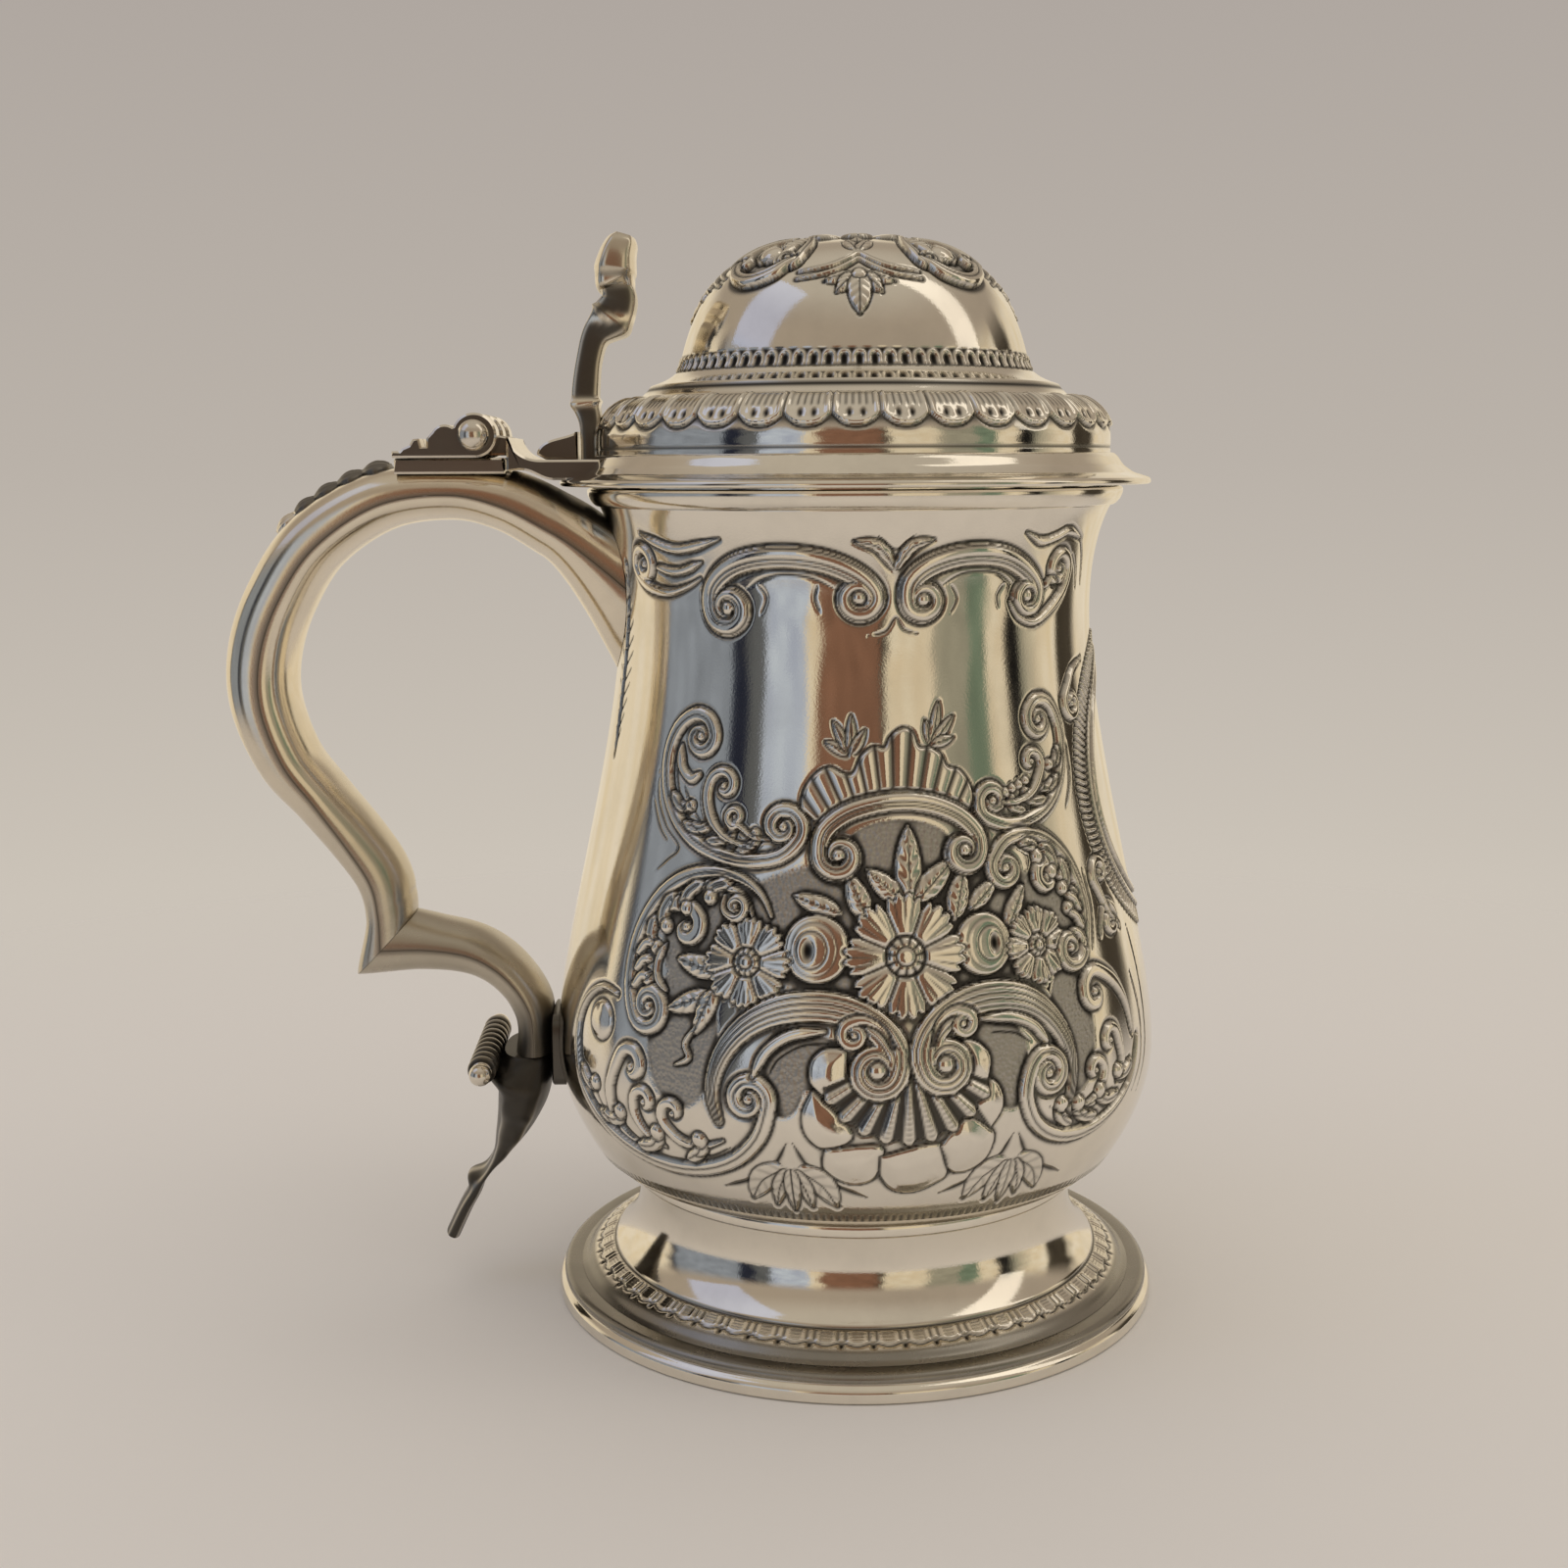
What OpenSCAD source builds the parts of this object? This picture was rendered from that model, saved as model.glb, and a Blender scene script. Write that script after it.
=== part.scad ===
// Silver baluster tankard with a hinged domed cover and a hollow double-scroll handle.
// Millimetres. The tankard stands on Z = 0 with its axis on Z. The handle is towards -X
// and the pin of the cover hinge runs along Y.

/* [Foot] */
// Largest radius of the foot, at its base wire
foot_r = 58; // [52:0.5:66]
// Height from the table to the underside of the body
foot_h = 26.5; // [22:0.5:34]
// Narrowest radius of the hollow-curved foot
foot_neck_r = 42.2; // [36:0.2:46]
// Height of the moulded wire round the base of the foot
foot_wire_h = 5; // [3.5:0.1:7]
// Width of the moulded wire round the base of the foot
foot_wire_w = 6; // [4:0.1:9]
// Width of the sloping border on the foot
foot_border_w = 5.1; // [3.5:0.1:7]
// Sheet thickness of the foot
foot_wall = 1; // [0.7:0.1:1.6]
// Height of the strap collar between foot and body
collar_h = 2.4; // [1.2:0.1:4]
// Thickness of the strap collar between foot and body
collar_t = 0.9; // [0.5:0.1:1.6]

/* [Body] */
// Height of the body from its underside to the rim
body_h = 128; // [110:1:150]
// Radius where the underside turns up into the wall
base_r = 50.3; // [46:0.1:54]
// Rise of the underside from the foot to the turn
base_rise = 3.5; // [2:0.1:6]
// Largest radius of the belly
belly_r = 57.3; // [53:0.1:64]
// Height of the belly above the underside of the body
belly_h = 23.5; // [18:0.5:32]
// Narrowest radius of the neck
neck_r = 43.9; // [38:0.1:46]
// Drop from the rim to the narrowest part of the neck
neck_drop = 21.5; // [16:0.5:32]
// Radius of the mouth, outside, behind the lip wire
mouth_r = 47.4; // [45:0.1:52]
// Sheet thickness of the body
body_wall = 1; // [0.7:0.1:1.6]
// Height of the lip wire round the rim
lip_h = 3.5; // [2.5:0.1:5]
// Projection of the lip wire from the wall
lip_t = 2.2; // [1.4:0.1:3.2]

/* [Cover] */
// Gap between the rim and the closed cover
lid_gap = 0.3; // [0.2:0.05:0.8]
// Projection of the cover flange past the lip wire
flange_over = 5.1; // [3:0.1:7]
// Thickness of the flange at its edge
flange_t = 1.1; // [0.8:0.1:1.6]
// Rise of the flange from its edge to the drum
flange_rise = 1.8; // [1:0.1:3]
// Height of the upright drum of the cover
drum_h = 5.3; // [3.5:0.1:8]
// Height of the quarter-round shoulder of the cover
shoulder_h = 7.3; // [5:0.1:10]
// Width of the quarter-round shoulder of the cover
shoulder_w = 6.9; // [5:0.1:9]
// Height of the step above the shoulder
step_h = 2.5; // [1.5:0.1:4]
// Width of the step above the shoulder
step_w = 2.7; // [1.6:0.1:4]
// Width of the hollow between the step and the dome
hollow_w = 5.4; // [4:0.1:7]
// Height of the hollow between the step and the dome
hollow_h = 3.6; // [2.5:0.1:5]
// Height of the dome of the cover
dome_h = 22.4; // [16:0.2:30]
// Sheet thickness of the cover
lid_wall = 0.9; // [0.6:0.1:1.4]
// Depth of the bezel ring inside the mouth
bezel_h = 4; // [2.5:0.1:5]
// Thickness of the bezel ring
bezel_t = 1.2; // [0.8:0.1:2]
// Clearance between the bezel ring and the mouth, so that the cover can swing
bezel_clear = 1; // [0.7:0.1:1.6]

/* [Hinge] */
// Distance of the hinge pin outside the flange
hinge_stand = 14; // [12:0.1:16]
// Height of the hinge pin above the rim
hinge_rise = 9.5; // [8.5:0.1:12]
// Width of each of the five lugs
lug_w = 5.5; // [4:0.1:7]
// Side gap between neighbouring lugs
lug_gap = 0.3; // [0.2:0.05:0.6]
// Outer radius of the lugs on the handle
knuckle_r = 3.95; // [3.4:0.05:4.6]
// Gap between a turning lug and the leaf behind it
swing_clear = 0.4; // [0.3:0.05:0.8]
// Radius of the hinge pin
pin_r = 1.3; // [0.9:0.05:1.8]
// Radial clearance of the pin in its lugs
pin_clear = 0.05; // [0.02:0.01:0.09]
// Radius of the ball heads on the pin
ball_r = 2.8; // [2.2:0.1:3.4]
// Thickness of the bed plate under the hinge
bed_t = 1.8; // [1:0.1:2.4]
// Thickness of the leaf on the cover
leaf_t = 1.8; // [1.2:0.1:2.2]

/* [Handle] */
// How far the handle stands out from the body at its widest
handle_reach = 66; // [56:1:80]
// Width of the handle where it bears the hinge
handle_w = 24; // [20:0.5:28]
// Width of the handle at the mitre of its two scrolls
mitre_w = 16; // [13:0.5:20]
// Depth of the back shell at the widest part of the handle
back_depth = 7.4; // [6:0.1:9]
// Depth of the belly shell at the widest part of the handle
belly_depth = 5.5; // [4.5:0.1:7]
// Sheet thickness of the handle shells
shell_t = 1.1; // [0.8:0.1:1.6]
// Drop from the rim to the top of the handle's joint with the neck
root_top = 5.5; // [4.5:0.5:9]
// Drop from the rim to the foot of the handle's joint with the neck
root_low = 33.5; // [26:0.5:40]
// Height of the lower joint above the underside of the body
pad_up = 21.5; // [16:0.5:26]
// Height of the pad of the lower joint
pad_h = 14; // [11:0.5:18]
// Width of the pad of the lower joint
pad_w = 17; // [13:0.5:20]
// Thickness of the pad of the lower joint at its thinnest
pad_t = 1; // [0.8:0.1:2]
// Width of the husk drop at the hinge
drop_w = 12; // [8:0.5:15]
// Height of the husk drop above the handle
drop_h = 2.6; // [1.6:0.1:3.6]
// Length of the husk drop along the handle
drop_l = 24; // [16:1:30]
// Husks in the drop
husks = 5; // [3:1:7]
// Radius of the ribbed roll at the end of the lower scroll
roll_r = 2.6; // [2:0.1:3.2]
// Length of the ribbed roll between its beads
roll_l = 31; // [24:1:36]
// Ribs on the roll
ribs = 13; // [7:2:17]
// Width of the shield terminal below the roll
shield_w = 27; // [20:0.5:32]
// Drop of the shield terminal below the lower joint
shield_drop = 38; // [32:0.5:40]

/* [Thumbpiece] */
// Height of the thumbpiece above the leaf of the cover
thumb_h = 40; // [34:0.5:46]
// Width of the thumbpiece at its top scroll
thumb_w = 15; // [11:0.5:18]
// Width of the stem of the thumbpiece
stem_w = 9; // [7:0.5:11]
// Thickness of the stem of the thumbpiece
stem_t = 4.8; // [3.5:0.1:5.5]

/* [Hidden] */

// Width of a soldered seam
seam = 0.05;
// Roundness of the revolved pieces
$fn = 96;
// Curve steps between two control points of a swept piece
steps = 4;
// Points round half of a swept section
half_pts = 10;
// Squareness of the handle's back and of its belly: 2 is an ellipse
back_square = 2.8;
belly_square = 2.1;

// Heights that the pieces share
rim_z = foot_h + body_h;
belly_z = foot_h + belly_h;
neck_z = rim_z - neck_drop;
lid_z = rim_z + lid_gap;
drum_z = lid_z + flange_t + flange_rise;
shoulder_z = drum_z + drum_h;
step_z = shoulder_z + shoulder_h;
hollow_z = step_z + step_h;
dome_z = hollow_z + hollow_h;
hinge_z = rim_z + hinge_rise;
bed_z = hinge_z - knuckle_r - seam;
seat_z = bed_z - bed_t - seam;
pad_z = foot_h + pad_up;

// Radii that the pieces share
flange_r = mouth_r + lip_t + flange_over;
drum_r = mouth_r - 0.2;
shoulder_r = drum_r - shoulder_w;
step_r = shoulder_r - step_w;
dome_r = step_r - hollow_w;
hinge_x = -(flange_r + hinge_stand);
foot_seat_r = foot_neck_r + 0.8;

// Curve helpers
function mix(a, b, t) = a + (b - a) * t;
function bezier(p, n) = [for (i = [0:n]) let (t = i / n, s = 1 - t)
    s*s*s*p[0] + 3*s*s*t*p[1] + 3*s*t*t*p[2] + t*t*t*p[3]];
function arc(c, r, a0, a1, n) = [for (i = [0:n]) let (a = mix(a0, a1, i / n))
    [c[0] + r * cos(a), c[1] + r * sin(a)]];
function at(p, i) = p[max(0, min(len(p) - 1, i))];
// Smooth curve through every control point, at the real-valued place u
function through(p, u) = let (i = min(floor(u), len(p) - 2), t = u - i,
    a = at(p, i - 1), b = at(p, i), c = at(p, i + 1), d = at(p, i + 2))
    0.5 * (2*b + (c - a)*t + (2*a - 5*b + 4*c - d)*t*t + (3*b - a - 3*c + d)*t*t*t);
function curve(p) = [for (k = [0:(len(p) - 1) * steps]) through(p, k / steps)];
function unit(v) = v / norm(v);
// Left-hand normal of a run of points at point i
function side(p, i) = let (d = unit(at(p, i + 1) - at(p, i - 1))) [-d[1], d[0]];
// The same run moved by t to its left
function inset(p, t) = [for (i = [0:len(p) - 1])
    let (a = unit(at(p, i) - at(p, i - 1) + (i == 0 ? p[1] - p[0] : [0, 0])),
         b = i == len(p) - 1 ? a : unit(p[i + 1] - p[i]),
         m = unit([-a[1] - b[1], a[0] + b[0]]),
         k = max(0.6, m * [-b[1], b[0]]))
    let (q = p[i] + m * (t / k)) [max(0, q[0]), q[1]]];
function back(p) = [for (i = [len(p) - 1:-1:0]) p[i]];
function sgn_pow(v, e) = sign(v) * pow(abs(v), e);

// Outside of the body from the middle of its underside to the rim
body_under = [[0, foot_h], [foot_seat_r, foot_h],
              [mix(foot_seat_r, base_r, 0.62), foot_h + base_rise * 0.3]];
body_wall_curve = concat(
    bezier([[base_r, foot_h + base_rise],
            [mix(base_r, belly_r, 0.44), foot_h + base_rise * 2.3],
            [belly_r, belly_z - belly_h * 0.34], [belly_r, belly_z]], 8),
    [for (i = [1:14]) bezier([[belly_r, belly_z], [belly_r, belly_z + 17],
            [neck_r, neck_z - 25], [neck_r, neck_z]], 14)[i]],
    [for (i = [1:8]) bezier([[neck_r, neck_z], [neck_r, neck_z + neck_drop * 0.4],
            [mouth_r - 1.7, rim_z - lip_h - 3], [mouth_r, rim_z - lip_h]], 8)[i]],
    [[mouth_r, rim_z]]);
body_outside = concat(body_under, body_wall_curve);
body_inside = inset(body_outside, body_wall);
// Radius of the body's wall at a height
body_table = [for (p = body_wall_curve) [p[1], p[0]]];
function body_r_at(z) = lookup(z, body_table);

// Outside of the cover from the drum to the top
lid_outside = concat(
    [[drum_r, drum_z + seam]],
    [for (i = [0:8]) let (a = i * 90 / 8)
        [shoulder_r + shoulder_w * cos(a), shoulder_z + shoulder_h * sin(a)]],
    [[shoulder_r - step_w * 0.4, step_z + step_h * 0.25],
     [step_r + step_w * 0.2, step_z + step_h * 0.8], [step_r, hollow_z]],
    [for (i = [1:5]) bezier([[step_r, hollow_z],
        [step_r - hollow_w * 0.55, hollow_z + hollow_h * 0.25],
        [dome_r + 0.6, dome_z - hollow_h * 0.45], [dome_r, dome_z]], 5)[i]],
    [for (i = [1:10]) bezier([[dome_r, dome_z], [dome_r * 0.88, dome_z + dome_h * 0.78],
        [dome_r * 0.62, dome_z + dome_h], [0, dome_z + dome_h]], 10)[i]]);
lid_inside = inset(lid_outside, lid_wall);
// Place of the cover's outer face, towards the hinge, at a width and a height
lid_table = [for (p = lid_outside) [p[1], p[0]]];
function lid_front(y, z) = -sqrt(pow(lookup(z, lid_table) + seam, 2) - y * y);
bezel_r = body_r_at(rim_z - bezel_h) - body_wall - bezel_clear;

// Outside of the foot from the body to its base wire
foot_slope_r = foot_r - foot_wire_w;
foot_crease_r = foot_slope_r - foot_border_w;
foot_crease_z = foot_wire_h + 4.4;
foot_outside = concat(
    bezier([[foot_seat_r, foot_h - seam], [foot_neck_r - 1.2, mix(foot_crease_z, foot_h, 0.58)],
            [foot_neck_r - 0.6, mix(foot_crease_z, foot_h, 0.26)], [foot_crease_r, foot_crease_z]], 10),
    [[foot_crease_r + 0.2, foot_crease_z - 0.4], [foot_slope_r - 0.4, foot_wire_h + 1.5],
     [foot_slope_r + 0.6, foot_wire_h + 0.5], [foot_slope_r + 1.6, foot_wire_h + seam]]);
foot_inside = [for (p = inset(foot_outside, -foot_wall))
    [p[0], min(foot_h - seam, max(p[1], foot_wire_h + seam))]];
foot_table = [for (p = foot_outside) [p[1], p[0]]];

// Handle: each control point is [share of the reach, share of the rise, back depth, belly depth,
// width], from the body to the mitre. The rise goes from the lower joint to the seat of the hinge.
handle_ctrl = [
    [0.115, 0.897, 0.96, 0.96, 1.00], [0.250, 0.937, 0.90, 0.87, 1.00],
    [0.401, 0.957, 0.69, 0.85, 1.00], [0.591, 0.940, 0.85, 0.84, 0.92],
    [0.755, 0.872, 1.00, 0.82, 0.80], [0.848, 0.784, 1.01, 0.89, 0.68],
    [0.892, 0.695, 1.00, 0.96, 0.58], [0.887, 0.608, 0.93, 1.00, 0.50],
    [0.821, 0.512, 0.80, 1.00, 0.40], [0.726, 0.439, 0.65, 1.02, 0.30],
    [0.629, 0.363, 0.53, 1.15, 0.15], [0.561, 0.301, 0.46, 1.20, 0.05],
    [0.535, 0.245, 0.43, 1.15, 0.00], [0.523, 0.185, 0.74, 1.11, 0.00]];
pad_r = body_r_at(pad_z);
pad_x = -(pad_r + pad_t);
function handle_at(a, f) = [-(mix(pad_r, mouth_r, f) + a * handle_reach), mix(pad_z, seat_z, f)];
handle_stations = [for (c = handle_ctrl) concat(handle_at(c[0], c[1]),
    [c[2] * back_depth, c[3] * belly_depth, mix(mitre_w, handle_w, c[4])])];
handle_last = len(handle_stations) - 1;

// The lower scroll starts a seam's width from the last station of the handle
mitre = handle_stations[handle_last] + [2 * seam, 0, 0, 0, 0];
// Lower scroll: [x, z, lower depth, upper depth, width] from the mitre to the terminal
scroll_end_x = pad_x - 3.3;
scroll_stations = [
    mitre,
    [mix(mitre[0], pad_x, 0.26), mitre[1] + 0.1, 5.0, 4.9, mitre_w + 0.5],
    [mix(mitre[0], pad_x, 0.50), mix(mitre[1], pad_z, 0.05), 4.5, 4.4, mitre_w + 1],
    [mix(mitre[0], pad_x, 0.67), mix(mitre[1], pad_z, 0.18), 4.0, 4.0, mitre_w + 1.5],
    [mix(mitre[0], pad_x, 0.80), mix(mitre[1], pad_z, 0.38), 3.7, 3.7, mitre_w + 2],
    [scroll_end_x - 0.6, mix(mitre[1], pad_z, 0.60), 3.6, 3.7, mitre_w + 2.4],
    [scroll_end_x, pad_z + 4, 3.4, 3.5, mitre_w + 2.8],
    [scroll_end_x, pad_z - 0.4, 3.8, 3.8, mitre_w + 3]];

// The two scrolls meet in a mitre that halves the angle between them; the lean is its slope
function path_of(st) = [for (c = curve(st)) [c[0], c[1]]];
handle_end = -side(path_of(handle_stations), handle_last * steps);
scroll_start = -side(path_of(scroll_stations), 0);
mitre_dir = unit(handle_end + scroll_start);
mitre_lean = mitre_dir * [handle_end[1], -handle_end[0]] / (mitre_dir * handle_end);

// Shield terminal: [x, z, half thickness, width]
shield_top = pad_z - 0.4 - seam;
shield_half = 4.9;
shield_mid = 4.8;
function shield_at(dx, share, h, w) = [pad_x - dx, shield_top - share * (shield_drop - 0.4), h, w];
shield_stations = [
    shield_at(shield_mid, 0, shield_half, shield_w - 8),
    shield_at(shield_mid, 0.08, shield_half + 0.2, shield_w - 2),
    shield_at(6.0, 0.22, shield_half, shield_w), shield_at(7.8, 0.38, 3.6, shield_w - 6),
    shield_at(10.5, 0.54, 2.2, shield_w - 11), shield_at(14.3, 0.69, 1.4, shield_w - 13),
    shield_at(17.9, 0.85, 1.4, shield_w - 15), shield_at(20.6, 1, 1.6, shield_w - 18)];
// The roll lies along the upper edge of the shield
roll_x = pad_x - shield_mid - shield_half - 3 * seam - roll_r;
roll_z = shield_top - 0.8;

// Thumbpiece: [x from the drum, share of the height, half thickness, width]
thumb_z = drum_z + 0.1 + leaf_t + seam;
function thumb_at(dx, share, h, w) = [-(drum_r + dx), thumb_z + share * thumb_h, h, w];
thumb_stations = [
    thumb_at(1.65, 0, 1.5, stem_w + 3), thumb_at(1.65, 0.10, 1.5, stem_w + 3),
    thumb_at(1.6, 0.18, 2.0, stem_w + 1.5), thumb_at(2.3, 0.26, stem_t / 2, stem_w + 0.5),
    thumb_at(2.2, 0.34, stem_t / 2, stem_w), thumb_at(1.5, 0.46, stem_t / 2 - 0.2, stem_w),
    thumb_at(0.2, 0.56, stem_t / 2 + 0.1, stem_w + 0.5),
    thumb_at(-2.6, 0.635, stem_t / 2 + 1.4, stem_w + 2),
    thumb_at(-4.1, 0.71, stem_t / 2 + 0.9, stem_w + 3),
    thumb_at(-3.9, 0.77, stem_t / 2 + 0.6, thumb_w - 2),
    thumb_at(-3.4, 0.82, stem_t / 2 + 0.8, thumb_w), thumb_at(-4.0, 0.91, stem_t / 2 + 0.2, thumb_w),
    thumb_at(-5.0, 0.975, stem_t / 2 - 0.5, thumb_w - 1.5),
    thumb_at(-5.3, 1, stem_t / 2 - 1.2, thumb_w - 4)];

// Widths along the hinge
hinge_l = 5 * lug_w + 4 * lug_gap;
lug_pitch = lug_w + lug_gap;

// Solid through a list of equal closed rings, each closed by a strip of triangles at the two ends
module skin(rings) {
    n = len(rings[0]);
    m = len(rings);
    end = (m - 1) * n;
    polyhedron(points = [for (r = rings) each r], faces = concat(
        [for (k = [0:n / 2 - 2]) [k, n - 1 - k, k + 1]],
        [for (k = [0:n / 2 - 2]) [k + 1, n - 1 - k, n - 2 - k]],
        [for (k = [0:n / 2 - 2]) [end + k, end + k + 1, end + n - 1 - k]],
        [for (k = [0:n / 2 - 2]) [end + k + 1, end + n - 2 - k, end + n - 1 - k]],
        [for (i = [0:m - 2], j = [0:n - 1]) [i*n + j, (i + 1)*n + (j + 1) % n, (i + 1)*n + j]],
        [for (i = [0:m - 2], j = [0:n - 1]) [i*n + j, i*n + (j + 1) % n, (i + 1)*n + (j + 1) % n]]));
}
// Half section of a shell in [width, depth], from side to side outside and back again inside
function half_section(w, d, e, t) = concat(
    [for (k = [0:half_pts]) let (a = 180 * k / half_pts)
        [w / 2 * sgn_pow(cos(a), 2 / e), d * pow(sin(a), 2 / e)]],
    [for (k = [half_pts:-1:0]) let (a = 180 * k / half_pts)
        [(w / 2 - t) * sgn_pow(cos(a), 2 / e), (d - t) * pow(sin(a), 2 / e)]]);
// One half shell along stations. way is 1 for the back and -1 for the belly; lean turns the sections
// towards a mitre at the end (1) or at the start (-1); stop_x and stop_z flatten a seat.
function shell_point(s, n, d, y, k, stop_x, stop_z) = let (q = [n[1], -n[0]] * k * d)
    [min(stop_x, s[0] + n[0] * d + q[0]), y, min(stop_z, s[1] + n[1] * d + q[1])];
function shell_rings(st, way, lean, stop_x, stop_z) =
    let (c = curve(st), p = path_of(st), last = len(st) - 1)
    [for (i = [0:len(c) - 1]) let (s = c[i], n = -side(p, i), u = i / steps,
        k = mitre_lean * (lean > 0 ? max(0, (u - last) / 2 + 1) : -max(0, 1 - u / 2)),
        q = half_section(s[4], way > 0 ? s[2] : s[3], way > 0 ? back_square : belly_square, shell_t))
        [for (v = q) shell_point(s, n, way * (v[1] + seam / 2), v[0] * way, k, stop_x, stop_z)]];
// Rings that carry the handle's first section on to the wall of the body, wall first
root_pull = 5;
root_rings = 3;
function on_body(y, z) = [-sqrt(pow(body_r_at(z) + seam, 2) - y * y), y, z];
function root_of(p, d, t, h_back, h_belly, mid_z) =
    let (z = d > 0 ? mix(mid_z, rim_z - root_top, d / h_back) : mix(mid_z, rim_z - root_low, -d / h_belly),
         wall = on_body(p[1], z), dir = unit(handle_stations[0] - handle_stations[1]),
         pull = p + [dir[0], 0, dir[1]] * root_pull)
    (1 - t) * (1 - t) * p + 2 * t * (1 - t) * pull + t * t * wall;
function root_shell(way) =
    let (s = handle_stations[0], n = -side(path_of(handle_stations), 0),
         q = half_section(s[4], way > 0 ? s[2] : s[3], way > 0 ? back_square : belly_square, shell_t),
         mid_z = mix(rim_z - root_top, rim_z - root_low, 0.45))
    [for (i = [root_rings:-1:1]) [for (v = q) let (d = way * (v[1] + seam / 2))
        root_of(shell_point(s, n, d, v[0] * way, 0, 0, 2 * rim_z), d, i / root_rings, s[2], s[3], mid_z)]];
// Rings of a full oval bar along stations
function bar_rings(st, e) = let (c = curve(st), p = path_of(st))
    [for (i = [0:len(c) - 1]) let (s = c[i], n = -side(p, i))
        [for (k = [0:2 * half_pts - 1]) let (a = 180 * k / half_pts,
            d = s[2] * sgn_pow(sin(a), 2 / e))
            [s[0] + n[0] * d, s[3] / 2 * sgn_pow(cos(a), 2 / e), s[1] + n[1] * d]]];
// Turned solid whose points are [radius, height]
module turned(pts) { rotate_extrude() polygon(pts); }
// Everything inside the body's outer face, for seating a piece on it
module body_space(gap) {
    turned(concat([[0, foot_h]], [for (p = body_wall_curve) [p[0] + gap, p[1]]], [[0, rim_z]]));
}
// Outline in X and Z, as wide along Y as asked
module across(width) { rotate([90, 0, 0]) translate([0, 0, -width / 2]) linear_extrude(width) children(); }

module foot_wire() {
    h = foot_wire_h;
    r = foot_r;
    color("silver") turned([[r - foot_wire_w, 0], [r - 0.4, 0], [r, 0.4], [r, 0.42 * h],
        [r - 0.4, 0.53 * h], [r - 1.2, 0.64 * h], [r - 0.9, 0.78 * h], [r - 1.1, 0.9 * h],
        [r - 1.8, h], [r - foot_wire_w, h]]);
}
module foot() {
    color("gainsboro") turned(concat(foot_outside, back(foot_inside)));
}
module foot_collar() {
    top = foot_h - seam;
    low = top - collar_h;
    r = foot_seat_r + collar_t;
    levels = [for (k = [0:4]) mix(low, top, k / 4)];
    color("darkgray") turned(concat([for (z = levels) [lookup(z, foot_table) + seam, z]],
        [[r - collar_t * 0.3, top], [r, top - collar_h * 0.2],
         [r, low + collar_h * 0.2], [r - collar_t * 0.3, low]]));
}
module body() {
    color("lightsteelblue") turned(concat(body_outside, back(body_inside)));
}
module lip_wire() {
    r = mouth_r + seam;
    z = rim_z - lip_h;
    color("whitesmoke") turned([[r, z], [r + lip_t * 0.36, z + lip_h * 0.06],
        [r + lip_t * 0.8, z + lip_h * 0.36], [r + lip_t, z + lip_h * 0.68],
        [r + lip_t, z + lip_h * 0.88], [r + lip_t * 0.8, rim_z], [r, rim_z]]);
}
module handle_back() {
    color("khaki") skin(concat(root_shell(1), shell_rings(handle_stations, 1, 1, 0, seat_z)));
}
module handle_belly() {
    color("tan") skin(concat(root_shell(-1), shell_rings(handle_stations, -1, 1, 0, seat_z)));
}
// The lower scroll ends flat on the shield terminal
module lower_scroll(way) {
    skin([for (r = shell_rings(scroll_stations, way, -1, pad_x - seam, rim_z))
        [for (p = r) [p[0], p[1], max(p[2], shield_top + seam)]]]);
}
module scroll_back() { color("peru") lower_scroll(1); }
module scroll_belly() { color("burlywood") lower_scroll(-1); }
module lower_pad() {
    color("dimgray") difference() {
        translate([pad_x, 0, pad_z]) rotate([0, 90, 0]) linear_extrude(pad_r + pad_t - belly_r * 0.8)
            square([pad_h, pad_w], center = true);
        body_space(seam, $fn = 360);
    }
}
module handle_roll() {
    groove = 0.35;
    pitch = roll_l / ribs;
    rib_line = [for (i = [0:ribs - 1], k = [0, 0.2, 0.5, 0.8])
        [roll_r - groove * pow(abs(2 * k - 1), 2), -roll_l / 2 + (i + k) * pitch]];
    bead_r = roll_r * 0.78;
    bead_y = roll_l / 2 + bead_r * 0.7;
    color("silver") translate([roll_x, 0, roll_z]) rotate([-90, 0, 0]) turned(concat(
        [[0, -bead_y - bead_r]], arc([0, -bead_y], bead_r, -70, 40, 8), rib_line,
        [[roll_r - groove, roll_l / 2]], arc([0, bead_y], bead_r, -40, 70, 8), [[0, bead_y + bead_r]]));
}
module shield_terminal() {
    rings = bar_rings(shield_stations, 2.4);
    color("slategray") skin([for (i = [0:len(rings) - 1]) [for (p = rings[i])
        [min(p[0], pad_x - seam), p[1], i == 0 ? shield_top : min(p[2], shield_top)]]]);
}
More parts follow.
